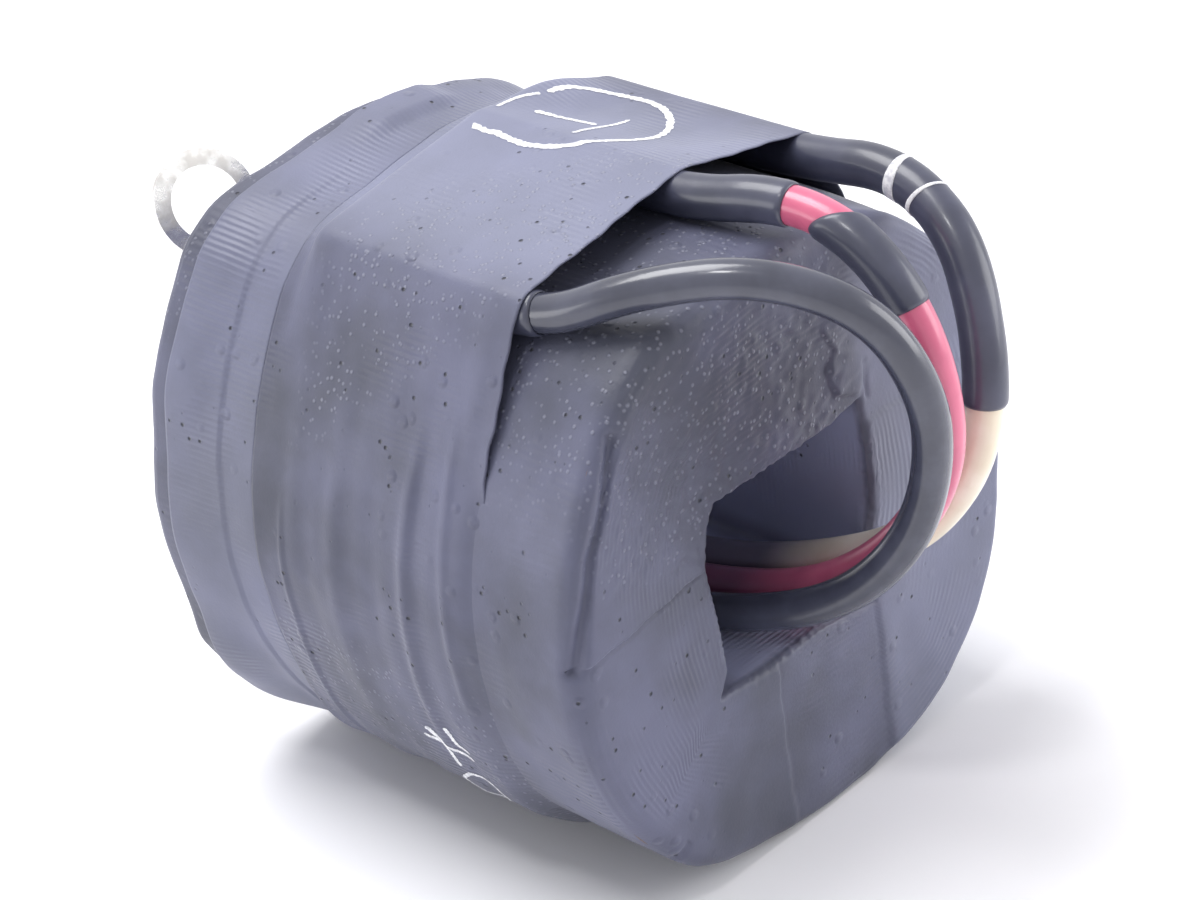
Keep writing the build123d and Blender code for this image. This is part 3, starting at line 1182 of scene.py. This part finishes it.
class Lead:
    """One flexible lead with its sleeves and ring terminal."""

    radius = 2.5 * MM
    sleeve_radius = 2.9 * MM
    splice_reach = 10.5 * MM

    def __init__(
        self,
        name: LeadName,
        route: tuple[tuple[float, float, float], ...],
        finishes: Finishes,
    ) -> None:
        """Builds the lead's curve.

        Args:
            name: Which lead this is.
            route: Control points in metres.
            finishes: Materials.
        """
        self.name = name
        self.route = route
        self.finishes = finishes
        self.extras: list[bpy.types.Object] = [frame["nodes"][f"terminal_{name.value}"]]
        curve = bpy.data.curves.new(f"lead_{name.value}", "CURVE")
        curve.dimensions = "3D"
        spline = curve.splines.new("NURBS")
        spline.points.add(len(route) - 1)
        for point, place in zip(spline.points, route):
            point.co = (*place, 1.0)
        spline.order_u = 3
        spline.use_endpoint_u = True
        spline.resolution_u = 10
        self.piece = add_object(f"flex_lead_{name.value}", curve)
        self.line = self.read_line()
        curve.bevel_depth = self.radius
        curve.bevel_resolution = 7
        curve.use_fill_caps = True
        curve.materials.append(finishes.leads[name])
        fasten(self.piece, f"{name.value}_lead", f"lead_{name.value}")
        log.info("lead %s, %.1f mm", name.value, self.length() / MM)

    def read_line(self) -> Array:
        """Points of the bare spline.

        Returns:
            Array of points in metres.
        """
        depsgraph = bpy.context.evaluated_depsgraph_get()
        mesh = bpy.data.meshes.new_from_object(self.piece.evaluated_get(depsgraph))
        points = np.array([vertex.co[:] for vertex in mesh.vertices])
        bpy.data.meshes.remove(mesh)
        if np.linalg.norm(points[0] - np.array(self.route[0])) > self.radius:
            points = points[::-1]
        return points

    def length(self) -> float:
        """Length of the lead.

        Returns:
            Length in metres.
        """
        return float(np.linalg.norm(np.diff(self.line, axis=0), axis=1).sum())

    def stretch(self, start: float, end: float, step: float = 0.4 * MM) -> Array:
        """Evenly spaced points of the line between two lengths.

        Args:
            start: First length in metres; a negative one reaches back over the splice.
            end: Last length in metres.
            step: Spacing in metres.

        Returns:
            Array of points.
        """
        back = self.line[0] + np.array([0.0, self.splice_reach, 0.0])
        line = np.vstack([back, self.line])
        runs = np.concatenate([[0], np.cumsum(np.linalg.norm(np.diff(line, axis=0), axis=1))])
        wanted = np.linspace(start, end, int((end - start) / step) + 2) + self.splice_reach
        return np.stack([np.interp(wanted, runs, line[:, i]) for i in range(3)], axis=1)

    def add_sleeve(self, node: str, start: float, end: float, cut: float = 0.0) -> None:
        """Adds an insulating sleeve that replaces a CAD node.

        Args:
            node: Name of the CAD node.
            start: First length in metres.
            end: Last length in metres.
            cut: How far the first end is cut on the skew, in metres.
        """
        path = self.stretch(start, end)
        count = len(path)
        places = np.linspace(0, end - start, count)
        ends = np.minimum(places, places[-1] - places)
        waver = np.sin(places / (3.1 * MM)) * 0.03 * MM + np.sin(places / (1.3 * MM)) * 0.015 * MM
        outside = self.sleeve_radius + waver - 0.28 * MM * np.exp(-ends / (0.25 * MM))
        lean = -cut * np.exp(-places / (4 * MM))
        inside = self.radius + 0.03 * MM
        piece = tube_object(f"{node}_skin", path, outside, inside, self.finishes.sleeve, lean)
        fasten(piece, "black_sleeve", node)
        self.extras.append(piece)

    def add_mark_ring(self, index: int, place: float, width: float, tilt: float, spread: float) -> None:
        """Adds a thin pale paint ring around the sleeve.

        Args:
            index: Number of the ring.
            place: Length along the lead in metres.
            width: Mean width in metres.
            tilt: How far the ring leans along the lead, in metres.
            spread: How much wider it is on one side, in metres.
        """
        path = self.stretch(place - width / 2, place + width / 2, 0.2 * MM)
        radius = np.full(len(path), self.sleeve_radius + 0.06 * MM)
        name = f"mark_ring_{self.name.value}_{index}"
        lean = np.linspace(-spread, spread, len(path)) + tilt
        inside = self.sleeve_radius - 0.2 * MM
        piece = tube_object(name, path, radius, inside, self.finishes.paint, lean)
        fasten(piece, "black_sleeve")
        self.extras.append(piece)

    def declare(self) -> None:
        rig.cord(
            self.piece,
            exit=self.route[0],
            length=self.length(),
            diameter=2 * self.radius,
            far_end="connector",
            stiffness="limp",
            lay="loose",
            with_pieces=self.extras,
        )


def tube_object(
    name: str,
    path: Array,
    outside: Array,
    inside: float,
    material: bpy.types.Material,
    tilt: Array | float = 0.0,
) -> bpy.types.Object:
    """Makes a thin-walled tube along a path.

    Args:
        name: Name of the object.
        path: Points of the centre line.
        outside: Outer radius at each point.
        inside: Inner radius.
        material: Material of the tube.
        tilt: How far each ring leans along the path.

    Returns:
        The new object.
    """
    around = 40
    skew = math.radians(250)
    tangents = np.gradient(path, axis=0)
    tangents /= np.linalg.norm(tangents, axis=1, keepdims=True)
    up = np.array([1.0, 0.0, 0.0])
    side = np.cross(tangents, up)
    side /= np.linalg.norm(side, axis=1, keepdims=True)
    across = np.cross(side, tangents)
    angle = np.linspace(0, 2 * math.pi, around, endpoint=False)
    spread = side[:, None] * np.cos(angle)[None, :, None] + across[:, None] * np.sin(angle)[None, :, None]
    shift = np.broadcast_to(np.asarray(tilt), (len(path),))[:, None] * np.cos(angle - skew)[None, :]
    lean = tangents[:, None] * shift[..., None]
    outer = path[:, None] + spread * outside[:, None, None] + lean
    inner = (path[:, None] + spread * np.full(len(path), inside)[:, None, None] + lean)[::-1]
    points = np.concatenate([outer, inner], axis=0)
    rows, columns = points.shape[:2]
    corners = face_corners(np.arange(columns + 1.0), np.arange(rows + 1.0))
    return grid_object(name, points, corners, material)


class Band:
    """Tape laid around the coil."""

    def __init__(self, form: CoilForm) -> None:
        """Keeps the form that the tape lies on.

        Args:
            form: Shapes of the coil.
        """
        self.form = form

    def lay(
        self,
        name: str,
        replaced: str,
        theta: Array,
        y: Array,
        radius: Array,
        fields: dict[str, Array],
        material: bpy.types.Material,
    ) -> bpy.types.Object:
        """Makes the tape's mesh, kept above the floor, with its ribs across the tape.

        Args:
            name: Name of the piece.
            replaced: CAD node that it replaces.
            theta: Angle of each row in radians.
            y: Y of each point around the tape's section.
            radius: Radius of each point.
            fields: Value at each point, by the name of the attribute.
            material: Material of the tape.

        Returns:
            The new object.
        """
        points = self.form.place(theta[:, None], radius, y)
        points[..., 2] = np.maximum(points[..., 2], 0.0)
        steps = self.form.outer(theta) * np.diff(theta, append=theta[0] + 2 * math.pi)
        around = np.concatenate([[0], np.cumsum(steps)])
        across = np.append(y[0], y[0, 0])
        corners = face_corners(across / MM, around / MM)[..., ::-1]
        piece = grid_object(name, points, corners, material, fields)
        fasten(piece, "black_tape", replaced)
        log.info("%s with %d points", name, points.shape[0] * points.shape[1])
        return piece


class CoverBand(Band):
    """Wide tape stretched over the coil and the covered parts of the leads."""

    front = -20.5 * MM
    rear_at_middle = 23.2 * MM
    rear_slant = 0.1
    lift = 0.2 * MM
    thickness = 0.6 * MM
    squeeze = 0.25 * MM
    tent_full_to = 14.0 * MM
    tent_flush_at = 20.6 * MM
    around = 620
    along = 116
    # Middle in mm along Y, its slant in mm per degree, height, width, first and last angle.
    side_folds = (
        (-8.6, 0.02, 0.55, 1.1, 140, 215),
        (-15.6, -0.03, 0.4, 0.9, 135, 200),
        (4.5, 0.03, 0.3, 1.6, 150, 225),
        (14.2, 0.02, 0.3, 0.5, 160, 230),
    )

    def __init__(self, form: CoilForm, leads: list[Lead], finishes: Finishes) -> None:
        """Builds the band.

        Args:
            form: Shapes of the coil.
            leads: Leads that pass under the band.
            finishes: Materials.
        """
        super().__init__(form)
        self.sleeves = [(lead.line[0] + self.at_front(lead)) / 2 for lead in leads]
        self.folds = Waves(21, 9 * MM)
        self.corners = self.stretched_corners()
        theta = dense_turn(self.around)
        rear = self.rear_at_middle + self.rear_slant * form.outer(theta) * np.cos(theta)
        front = self.front + 0.12 * MM * np.sin(theta * 23) + 0.1 * MM * np.sin(theta * 61 + 1)
        share = np.linspace(0, 1, self.along)
        y = front[:, None] + (rear - front)[:, None] * share
        outer = self.surface(theta[:, None], y)
        inner = outer - self.thickness * (0.35 + 0.65 * smooth(share / 0.02)) - 0.02 * MM
        keep = np.unique(np.linspace(0, self.along - 1, 16).astype(int))[::-1]
        whole_y = np.concatenate([y, y[:, keep]], axis=1)
        radius = np.concatenate([outer, inner[:, keep]], axis=1)
        fields = {
            "pitted": self.pitted(theta[:, None], whole_y),
            # The band's top is painted paler.
            "dust": 0.35 * smooth((np.sin(theta[:, None]) - 0.8) / 0.15) + 0 * whole_y,
        }
        self.lay("cover_band_tape", "cover_band", theta, whole_y, radius, fields, finishes.tape)

    def at_front(self, lead: Lead) -> Array:
        """Place of a lead at the band's front edge.

        Args:
            lead: The lead.

        Returns:
            The point.
        """
        return lead.line[int(np.argmin(np.abs(lead.line[: len(lead.line) // 3, 1] - self.front)))]

    def stretched_corners(self) -> Array:
        """Section of the tape pulled straight over the coil and the sleeves.

        Returns:
            Corners of a convex polygon around the window's axis.
        """
        turn = np.linspace(-math.pi, math.pi, 360, endpoint=False)
        radius = self.form.outer(turn) + self.lift
        points = [np.stack([radius * np.cos(turn), radius * np.sin(turn)], axis=1)]
        sleeve = Lead.sleeve_radius - self.squeeze
        for centre in self.sleeves:
            x = centre[0] + sleeve * np.cos(turn[::6])
            z = centre[2] - AXIS_HEIGHT + sleeve * np.sin(turn[::6])
            points.append(np.stack([x, z], axis=1))
        return convex_hull(np.concatenate(points))

    def surface(self, theta: Array, y: Array) -> Array:
        """Radius of the band's outside.

        Args:
            theta: Angles in radians.
            y: Positions along the window's axis.

        Returns:
            Radii in metres.
        """
        skin = self.form.skin(theta, y)
        body = self.form.outer(theta) + self.lift
        tent = polygon_radius(self.corners, theta) - body
        tent = np.maximum(tent - self.sag(theta, y), 0)
        fall = 1 - smooth((y - self.tent_full_to) / (self.tent_flush_at - self.tent_full_to))
        flush = self.flush(theta, y)
        stretched = smooth(tent * fall / (0.8 * MM))
        skin = skin - 0.85 * stretched * (skin - self.form.outer(theta))
        sunk = (-0.12 + 0.5 * smooth((y - self.front) / (3.5 * MM))) * MM
        radius = skin + (self.lift + self.thickness) * (1 - flush) + sunk * flush + tent * fall
        place = self.form.place(theta, radius, y)
        fold = self.folds.at(place * np.array([0.35, 1.6, 0.35]))
        side = smooth((-np.cos(theta) - 0.2) / 0.5)
        radius = radius + side * (1 - flush) * 0.2 * MM * fold
        low = np.exp(-(((np.degrees(theta) % 360 - 222) / 13) ** 2)) * (1 - flush)
        return radius + self.ridges(theta, y) + 1.1 * MM * low

    def sag(self, theta: Array, y: Array) -> Array:
        """How far the tape sinks between the red and cream leads; it puffs up at the rear.

        Args:
            theta: Angles in radians.
            y: Positions along the window's axis.

        Returns:
            Depths in metres.
        """
        degrees = np.degrees(theta) % 360
        between = np.sin(math.pi * np.clip((degrees - 57) / 28, 0, 1)) ** 2
        front = smooth((y - self.front) / (12 * MM)) * (1 - smooth((y - 5 * MM) / (6 * MM)))
        rear = np.exp(-(((y - 15.5 * MM) / (4.5 * MM)) ** 2))
        return between * (0.9 * front - 1.5 * rear) * MM

    def flush(self, theta: Array, y: Array) -> Array:
        """Where the front edge is pressed flat, on the lower left side.

        Args:
            theta: Angles in radians.
            y: Positions along the window's axis.

        Returns:
            Values from 0 to 1.
        """
        degrees = np.degrees(theta) % 360
        pressed = smooth((degrees - 142) / 12) * smooth((300 - degrees) / 20)
        return pressed * (1 - smooth((y - self.front) / (4.5 * MM)))

    def pitted(self, theta: Array, y: Array) -> Array:
        """How pitted the band is: most over the black lead.

        Args:
            theta: Angles in radians.
            y: Positions along the window's axis.

        Returns:
            Values from 0 to 1.
        """
        degrees = np.degrees(theta) % 360
        slant = degrees - 1.1 * y / MM
        patch = smooth((slant - 92) / 14) * smooth((146 - slant) / 10) * smooth((15 * MM - y) / (8 * MM))
        low = 0.5 * smooth((degrees - 185) / 10) * smooth((240 - degrees) / 20)
        return np.clip(patch + low, 0, 1)

    def ridges(self, theta: Array, y: Array) -> Array:
        """Soft folds that run around the left side, as the photo shows them.

        Args:
            theta: Angles in radians.
            y: Positions along the window's axis.

        Returns:
            Heights in metres.
        """
        degrees = np.degrees(theta) % 360
        total = np.zeros(np.broadcast(theta, y).shape)
        for middle, slant, height, width, low, high in self.side_folds:
            centre = (middle + slant * (degrees - 170)) * MM
            shape = np.exp(-(((y - centre) / (width * MM)) ** 2))
            inside = smooth((degrees - low) / 14) * smooth((high - degrees) / 14)
            total = total + height * MM * shape * inside
        return total


def convex_hull(points: Array) -> Array:
    """Convex hull of points in a plane.

    Args:
        points: Array of points.

    Returns:
        Corners, anticlockwise.
    """
    ordered = sorted(map(tuple, points))
    corners: list[tuple[float, float]] = []
    for items in (ordered, ordered[::-1]):
        chain: list[tuple[float, float]] = []
        for item in items:
            while len(chain) > 1 and turn(chain[-2], chain[-1], item) <= 0:
                chain.pop()
            chain.append(item)
        corners += chain[:-1]
    return np.array(corners)


def turn(a: tuple[float, float], b: tuple[float, float], c: tuple[float, float]) -> float:
    """Twice the signed area of a triangle.

    Args:
        a: First corner.
        b: Second corner.
        c: Third corner.

    Returns:
        Positive for an anticlockwise triangle.
    """
    return (b[0] - a[0]) * (c[1] - a[1]) - (b[1] - a[1]) * (c[0] - a[0])


class RearBand(Band):
    """Narrow tape between the cover band and the rear face."""

    thickness = 0.5 * MM
    gap = 0.3 * MM
    end = 35.4 * MM
    around = 460
    along = 44

    def __init__(self, form: CoilForm, cover: CoverBand, finishes: Finishes) -> None:
        """Builds the band.

        Args:
            form: Shapes of the coil.
            cover: The band in front of this one.
            finishes: Materials.
        """
        super().__init__(form)
        theta = dense_turn(self.around)
        front = cover.rear_at_middle + self.gap + cover.rear_slant * form.outer(theta) * np.cos(theta)
        y = front[:, None] + (self.end - front)[:, None] * np.linspace(0, 1, self.along)
        outer = self.surface(theta[:, None], y)
        inner = (outer - self.thickness)[:, ::-1]
        whole_y = np.concatenate([y, y[:, ::-1]], axis=1)
        radius = np.concatenate([outer, inner], axis=1)
        fields = {"pitted": 0 * whole_y, "dust": 0.2 + 0 * whole_y}
        self.lay("rear_band_tape", "rear_band", theta, whole_y, radius, fields, finishes.tape)

    def surface(self, theta: Array, y: Array) -> Array:
        """Radius of the band's outside, with a lap and a puckered flap on top.

        Args:
            theta: Angles in radians.
            y: Positions along the window's axis.

        Returns:
            Radii in metres.
        """
        lap_edge = 25.0 * MM + 2.2 * MM * np.sin(theta)
        lap = smooth((y - lap_edge) / (0.5 * MM)) * smooth((-np.cos(theta) - 0.1) / 0.4)
        degrees = np.degrees(theta) % 360
        flap = smooth((degrees - 70) / 6) * smooth((98 - degrees) / 10) * smooth((y - 28 * MM) / (3 * MM))
        return self.form.skin(theta, y) + self.thickness + (0.1 + 0.3 * lap + 0.9 * flap) * MM


@dataclass(frozen=True)
class Stroke:
    """One brush stroke as corners in mm, in the mark's own plane, and its width in mm."""

    corners: tuple[tuple[float, float], ...]
    width: float = 0.6


@dataclass(frozen=True)
class Mark:
    """A painted mark on the cover band.

    The mark's plane is rolled on the band: its first axis runs around the coil from the given
    angle towards smaller angles, its second axis runs along the window's axis from the given Y.
    """

    name: str
    angle: float
    y: float
    strokes: tuple[Stroke, ...]


class PaintMarks:
    """Hand-painted ring with a plain 1, and a small 4 and 0 low on the left side."""

    lift = 0.05 * MM
    girth_radius = 46.0
    ring_radius = 11.2
    ring_centre = (10.8, 3.4)
    marks = (
        Mark(
            "one",
            90.0,
            0.0,
            (Stroke(((7.8, 8.9), (10.6, 0.6)), 1.15), Stroke(((4.5, -1.1), (16.0, 0.0)), 0.6)),
        ),
        Mark(
            "four",
            206.0,
            -8.0,
            (
                Stroke(((1.2, 3.2), (-2.4, 0.6), (-6.4, 0.6)), 1.0),
                Stroke(((3.2, -1.2), (-0.6, -1.8), (-1.0, -4.0)), 0.7),
                Stroke(((-1.0, 4.4), (-2.6, -4.0)), 0.7),
            ),
        ),
        Mark(
            "zero",
            218.0,
            -9.0,
            (
                Stroke(
                    (
                        (-3.6, 2.6), (-4.2, -2.2), (-1.0, -5.0), (2.4, -4.0), (2.0, 0.6), (-0.8, 3.4),
                        (-3.6, 2.6),
                    ),
                    0.6,
                ),
            ),
        ),
    )

    def __init__(self, cover: CoverBand, finishes: Finishes) -> None:
        """Paints the marks.

        Args:
            cover: Band that carries them.
            finishes: Materials.
        """
        self.cover = cover
        self.finishes = finishes
        self.ring("paint_ring", 138, 435, 0.95)
        self.ring("paint_ring_end", 82, 117, 0.6)
        for mark in self.marks:
            for number, stroke in enumerate(mark.strokes):
                local = self.rounded(np.array(stroke.corners))
                u = (90 - mark.angle) / 180 * math.pi * self.girth_radius + local[:, 0]
                self.stroke(f"paint_{mark.name}_{number}", u, mark.y + local[:, 1], stroke.width)

    def ring(self, name: str, first: float, last: float, width: float) -> None:
        """Paints part of the ring, which runs out to a point at its start.

        Args:
            name: Name of the piece.
            first: First angle in degrees.
            last: Last angle in degrees.
            width: Width in mm.
        """
        degrees = np.linspace(first, last, 160)
        radius = self.ring_radius + 2.6 * np.exp(-(((degrees - 138) / 15) ** 2))
        radius -= 2.2 * np.exp(-(((degrees % 360 - 78) / 24) ** 2))
        angle = np.radians(degrees)
        across, along = self.ring_centre
        self.stroke(name, across + radius * np.cos(angle), along + radius * np.sin(angle), width)

    def rounded(self, corners: Array) -> Array:
        """Points along a stroke, with its corners eased.

        Args:
            corners: Corners in mm.

        Returns:
            Closely spaced points.
        """
        runs = np.concatenate([[0], np.cumsum(np.linalg.norm(np.diff(corners, axis=0), axis=1))])
        wanted = np.linspace(0, runs[-1], max(12, int(runs[-1] / 0.15)))
        line = np.stack([np.interp(wanted, runs, corners[:, i]) for i in range(2)], axis=1)
        if len(corners) > 2:
            for _ in range(12):
                line[1:-1] = (line[:-2] + line[2:] + 2 * line[1:-1]) / 4
        return line

    def stroke(self, name: str, u: Array, v: Array, width: float) -> None:
        """Lays one ribbon of paint on the band.

        Args:
            name: Name of the piece.
            u: Place around the coil in mm from its top, towards +X.
            v: Place along the window's axis in mm.
            width: Width in mm.
        """
        line = np.stack([u, v], axis=1)
        heading = np.gradient(line, axis=0)
        heading /= np.linalg.norm(heading, axis=1, keepdims=True)
        across = np.stack([-heading[:, 1], heading[:, 0]], axis=1)
        draw = np.random.default_rng(len(name) + len(u))
        ragged = width / 2 * (1 + 0.3 * draw.uniform(-1, 1, size=(2, len(u))))
        ends = np.minimum(np.arange(len(u)), np.arange(len(u))[::-1])
        ragged *= np.minimum(1, ends / 3 + 0.3)
        sides = [line + across * ragged[0][:, None], line, line - across * ragged[1][:, None]]
        rows = []
        for side, rise in zip(sides, (0.0, self.lift, 0.0)):
            theta = math.pi / 2 - side[:, 0] / self.girth_radius
            y = side[:, 1] * MM
            radius = self.cover.surface(theta, y) + 0.05 * MM + rise
            rows.append(self.cover.form.place(theta, radius, y))
        self.ribbon(name, np.stack(rows, axis=1))

    def ribbon(self, name: str, points: Array) -> None:
        """Makes the mesh of a ribbon of paint.

        Args:
            name: Name of the piece.
            points: Rows of three points.
        """
        faces = []
        for i in range(len(points) - 1):
            for j in range(2):
                faces.append((3 * i + j, 3 * i + j + 1, 3 * i + j + 4, 3 * i + j + 3))
        mesh = bpy.data.meshes.new(name)
        mesh.from_pydata(points.reshape(-1, 3).tolist(), [], faces)
        mesh.materials.append(self.finishes.paint)
        mesh.shade_smooth()
        fasten(add_object(name, mesh), "black_tape")


class InnerParts:
    """CAD nodes that stay as they are and get their materials."""

    def __init__(self, finishes: Finishes) -> None:
        """Assigns the materials and softens the terminals' edges.

        Args:
            finishes: Materials.
        """
        groups = {
            "former_tube": finishes.board,
            "front_cheek": finishes.board,
            "rear_cheek": finishes.board,
            "inner_winding": finishes.wire,
            "outer_winding": finishes.wire,
            "interlayer_insulation": finishes.sheet,
            "outer_insulation": finishes.sheet,
        }
        for name in LeadName:
            groups[f"splice_{name.value}"] = finishes.tin
            groups[f"winding_tail_{name.value}"] = finishes.wire
            groups[f"terminal_{name.value}"] = finishes.tin
        for node, material in groups.items():
            piece = frame["nodes"][node]
            for slot in piece.material_slots:
                slot.material = material
            log.info("finish of %s", node)
        for name in LeadName:
            self.soften(frame["nodes"][f"terminal_{name.value}"])

    def soften(self, piece: bpy.types.Object) -> None:
        """Rounds the sharp edges of a stamped piece.

        Args:
            piece: Object that gets the modifier.
        """
        bevel = piece.modifiers.new("soft_edges", "BEVEL")
        bevel.width = 0.18 * MM
        bevel.segments = 2
        bevel.limit_method = "ANGLE"
        bevel.angle_limit = math.radians(35)


@dataclass(frozen=True)
class CameraView:
    """Camera that sees the coil as the photo does, solved from the photo."""

    yaw: float = -42.333
    pitch: float = 30.074
    roll: float = -8.21
    offset: tuple[float, float, float] = (1.609 * MM, 1.893 * MM, 473.527 * MM)
    lens: float = 108.0

    def build(self) -> None:
        """Adds the camera and makes it the scene's."""
        yaw, pitch, roll = (math.radians(a) for a in (self.yaw, self.pitch, self.roll))
        back = Vector((math.sin(yaw) * math.cos(pitch), -math.cos(yaw) * math.cos(pitch), math.sin(pitch)))
        right = Vector((0, 0, 1)).cross(back).normalized()
        up = back.cross(right)
        tilted_right = right * math.cos(roll) + up * math.sin(roll)
        tilted_up = up * math.cos(roll) - right * math.sin(roll)
        turned = Matrix((tilted_right, tilted_up, back)).transposed()
        place = turned @ Vector(self.offset) + Vector((0, 0, AXIS_HEIGHT))
        data = bpy.data.cameras.new("photo_camera")
        data.lens = self.lens
        data.sensor_width = 36.0
        data.clip_start = 0.01
        camera = add_object("photo_camera", data)
        camera.matrix_world = Matrix.Translation(place) @ turned.to_4x4()
        bpy.context.scene.camera = camera


class Studio:
    """Pale floor, white surroundings and soft lamps.

    The level is the surroundings' light on the coil, and dim_level is that from dim_side.
    """

    floor_size = 6.0
    level = 1.0
    dim_level = 0.3
    dim_side = (-0.78, -0.42, 0.46)
    # Name, place in metres, side in metres and power in watts.
    lamps = (
        ("top_lamp", (-0.05, 0.3, 0.85), 0.5, 6.4),
        ("rear_left_lamp", (-0.85, 0.5, 0.1), 0.6, 3.2),
        ("right_lamp", (0.75, -0.7, 0.28), 0.7, 6.0),
        ("small_lamp", (-0.28, -0.1, 0.7), 0.09, 0.7),
    )

    def __init__(self) -> None:
        """Builds the floor, the world and the lamps."""
        self.floor()
        self.world()
        for lamp in self.lamps:
            self.lamp(*lamp)
        bpy.context.scene.view_settings.view_transform = "Standard"

    def floor(self) -> None:
        """Adds the floor."""
        half = self.floor_size / 2
        corners = [(-half, -half, 0), (half, -half, 0), (half, half, 0), (-half, half, 0)]
        mesh = bpy.data.meshes.new("studio_floor")
        mesh.from_pydata(corners, [], [(0, 1, 2, 3)])
        material, tree = new_material("studio_floor")
        finish_with(tree, {"Base Color": linear("#fafafe"), "Roughness": 0.7, "IOR": 1.35}, {})
        mesh.materials.append(material)
        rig.stage(add_object("studio_floor", mesh))

    def world(self) -> None:
        """Surrounds the scene with white, which gives less light from around the camera."""
        world = bpy.data.worlds.new("studio_world")
        world.use_nodes = True
        tree = world.node_tree
        tree.nodes.clear()
        rays = add_node(tree, "LightPath")
        seen = combine(tree, "MAXIMUM", rays.outputs["Is Camera Ray"], rays.outputs["Is Glossy Ray"])
        either = combine(tree, "MAXIMUM", seen, rays.outputs["Is Transmission Ray"])
        way = add_node(tree, "TexCoord").outputs["Generated"]
        toward = add_node(tree, "VectorMath", {"operation": "DOT_PRODUCT"})
        tree.links.new(way, toward.inputs[0])
        toward.inputs[1].default_value = self.dim_side
        settings = {"From Min": 0.1, "From Max": 0.9, "To Min": self.level, "To Max": self.dim_level}
        plain = add_node(tree, "MapRange", settings, {"Value": toward.outputs["Value"]})
        strength = add_node(tree, "Mix", {"data_type": "FLOAT"}, {"Factor": either})
        ends = [socket for socket in strength.inputs if socket.type == "VALUE" and socket.name in "AB"]
        tree.links.new(plain.outputs["Result"], ends[0])
        ends[1].default_value = 1.0
        result = next(socket for socket in strength.outputs if socket.type == "VALUE")
        light = add_node(tree, "Background", {"Color": (1, 1, 1, 1)}, {"Strength": result})
        add_node(tree, "OutputWorld", links={"Surface": light.outputs["Background"]})
        bpy.context.scene.world = world

    def lamp(self, name: str, place: tuple[float, float, float], size: float, power: float) -> None:
        """Adds a soft square lamp that points at the coil.

        Args:
            name: Name of the lamp.
            place: Position in metres.
            size: Side in metres.
            power: Power in watts.
        """
        data = bpy.data.lights.new(name, "AREA")
        data.size = size
        data.energy = power
        lamp = add_object(name, data)
        aim = Vector((0, 0, AXIS_HEIGHT)) - Vector(place)
        lamp.matrix_world = Matrix.Translation(place) @ aim.to_track_quat("-Z", "Y").to_matrix().to_4x4()


def write_sizes() -> None:
    """Writes the CAD box and the dressed box to a file."""
    boxes = {"cad": cad_bounds, "visual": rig.bounds()}
    plain = {name: [list(map(float, corner)) for corner in box] for name, box in boxes.items()}
    with open("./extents.json", "w") as file:
        json.dump(plain, file)


def main() -> None:
    """Builds the camera, the leads, the taping, the marks and the studio."""
    logging.basicConfig(level=logging.INFO)
    CameraView().build()
    finishes = Finishes()
    black = Lead(LeadName.BLACK, BLACK_ROUTE, finishes)
    red = Lead(LeadName.RED, RED_ROUTE, finishes)
    cream = Lead(LeadName.CREAM, CREAM_ROUTE, finishes)
    black.add_sleeve("joint_sleeve_black", -Lead.splice_reach, 23.6 * MM)
    red.add_sleeve("joint_sleeve_red", -Lead.splice_reach, 38.9 * MM)
    red.add_sleeve("mid_sleeve_red", 45.5 * MM, 59.0 * MM, 2.2 * MM)
    cream.add_sleeve("joint_sleeve_cream", -Lead.splice_reach, 71.5 * MM)
    cream.add_mark_ring(1, 39.0 * MM, 1.1 * MM, 0.5 * MM, 0.35 * MM)
    cream.add_mark_ring(2, 44.0 * MM, 0.45 * MM, -0.5 * MM, 0.1 * MM)
    leads = [black, red, cream]
    for lead in leads:
        lead.declare()
    form = CoilForm()
    GroundWrap(form, finishes)
    cover = CoverBand(form, leads, finishes)
    RearBand(form, cover, finishes)
    PaintMarks(cover, finishes)
    InnerParts(finishes)
    Studio()
    write_sizes()


if __name__ == "__main__":
    main()
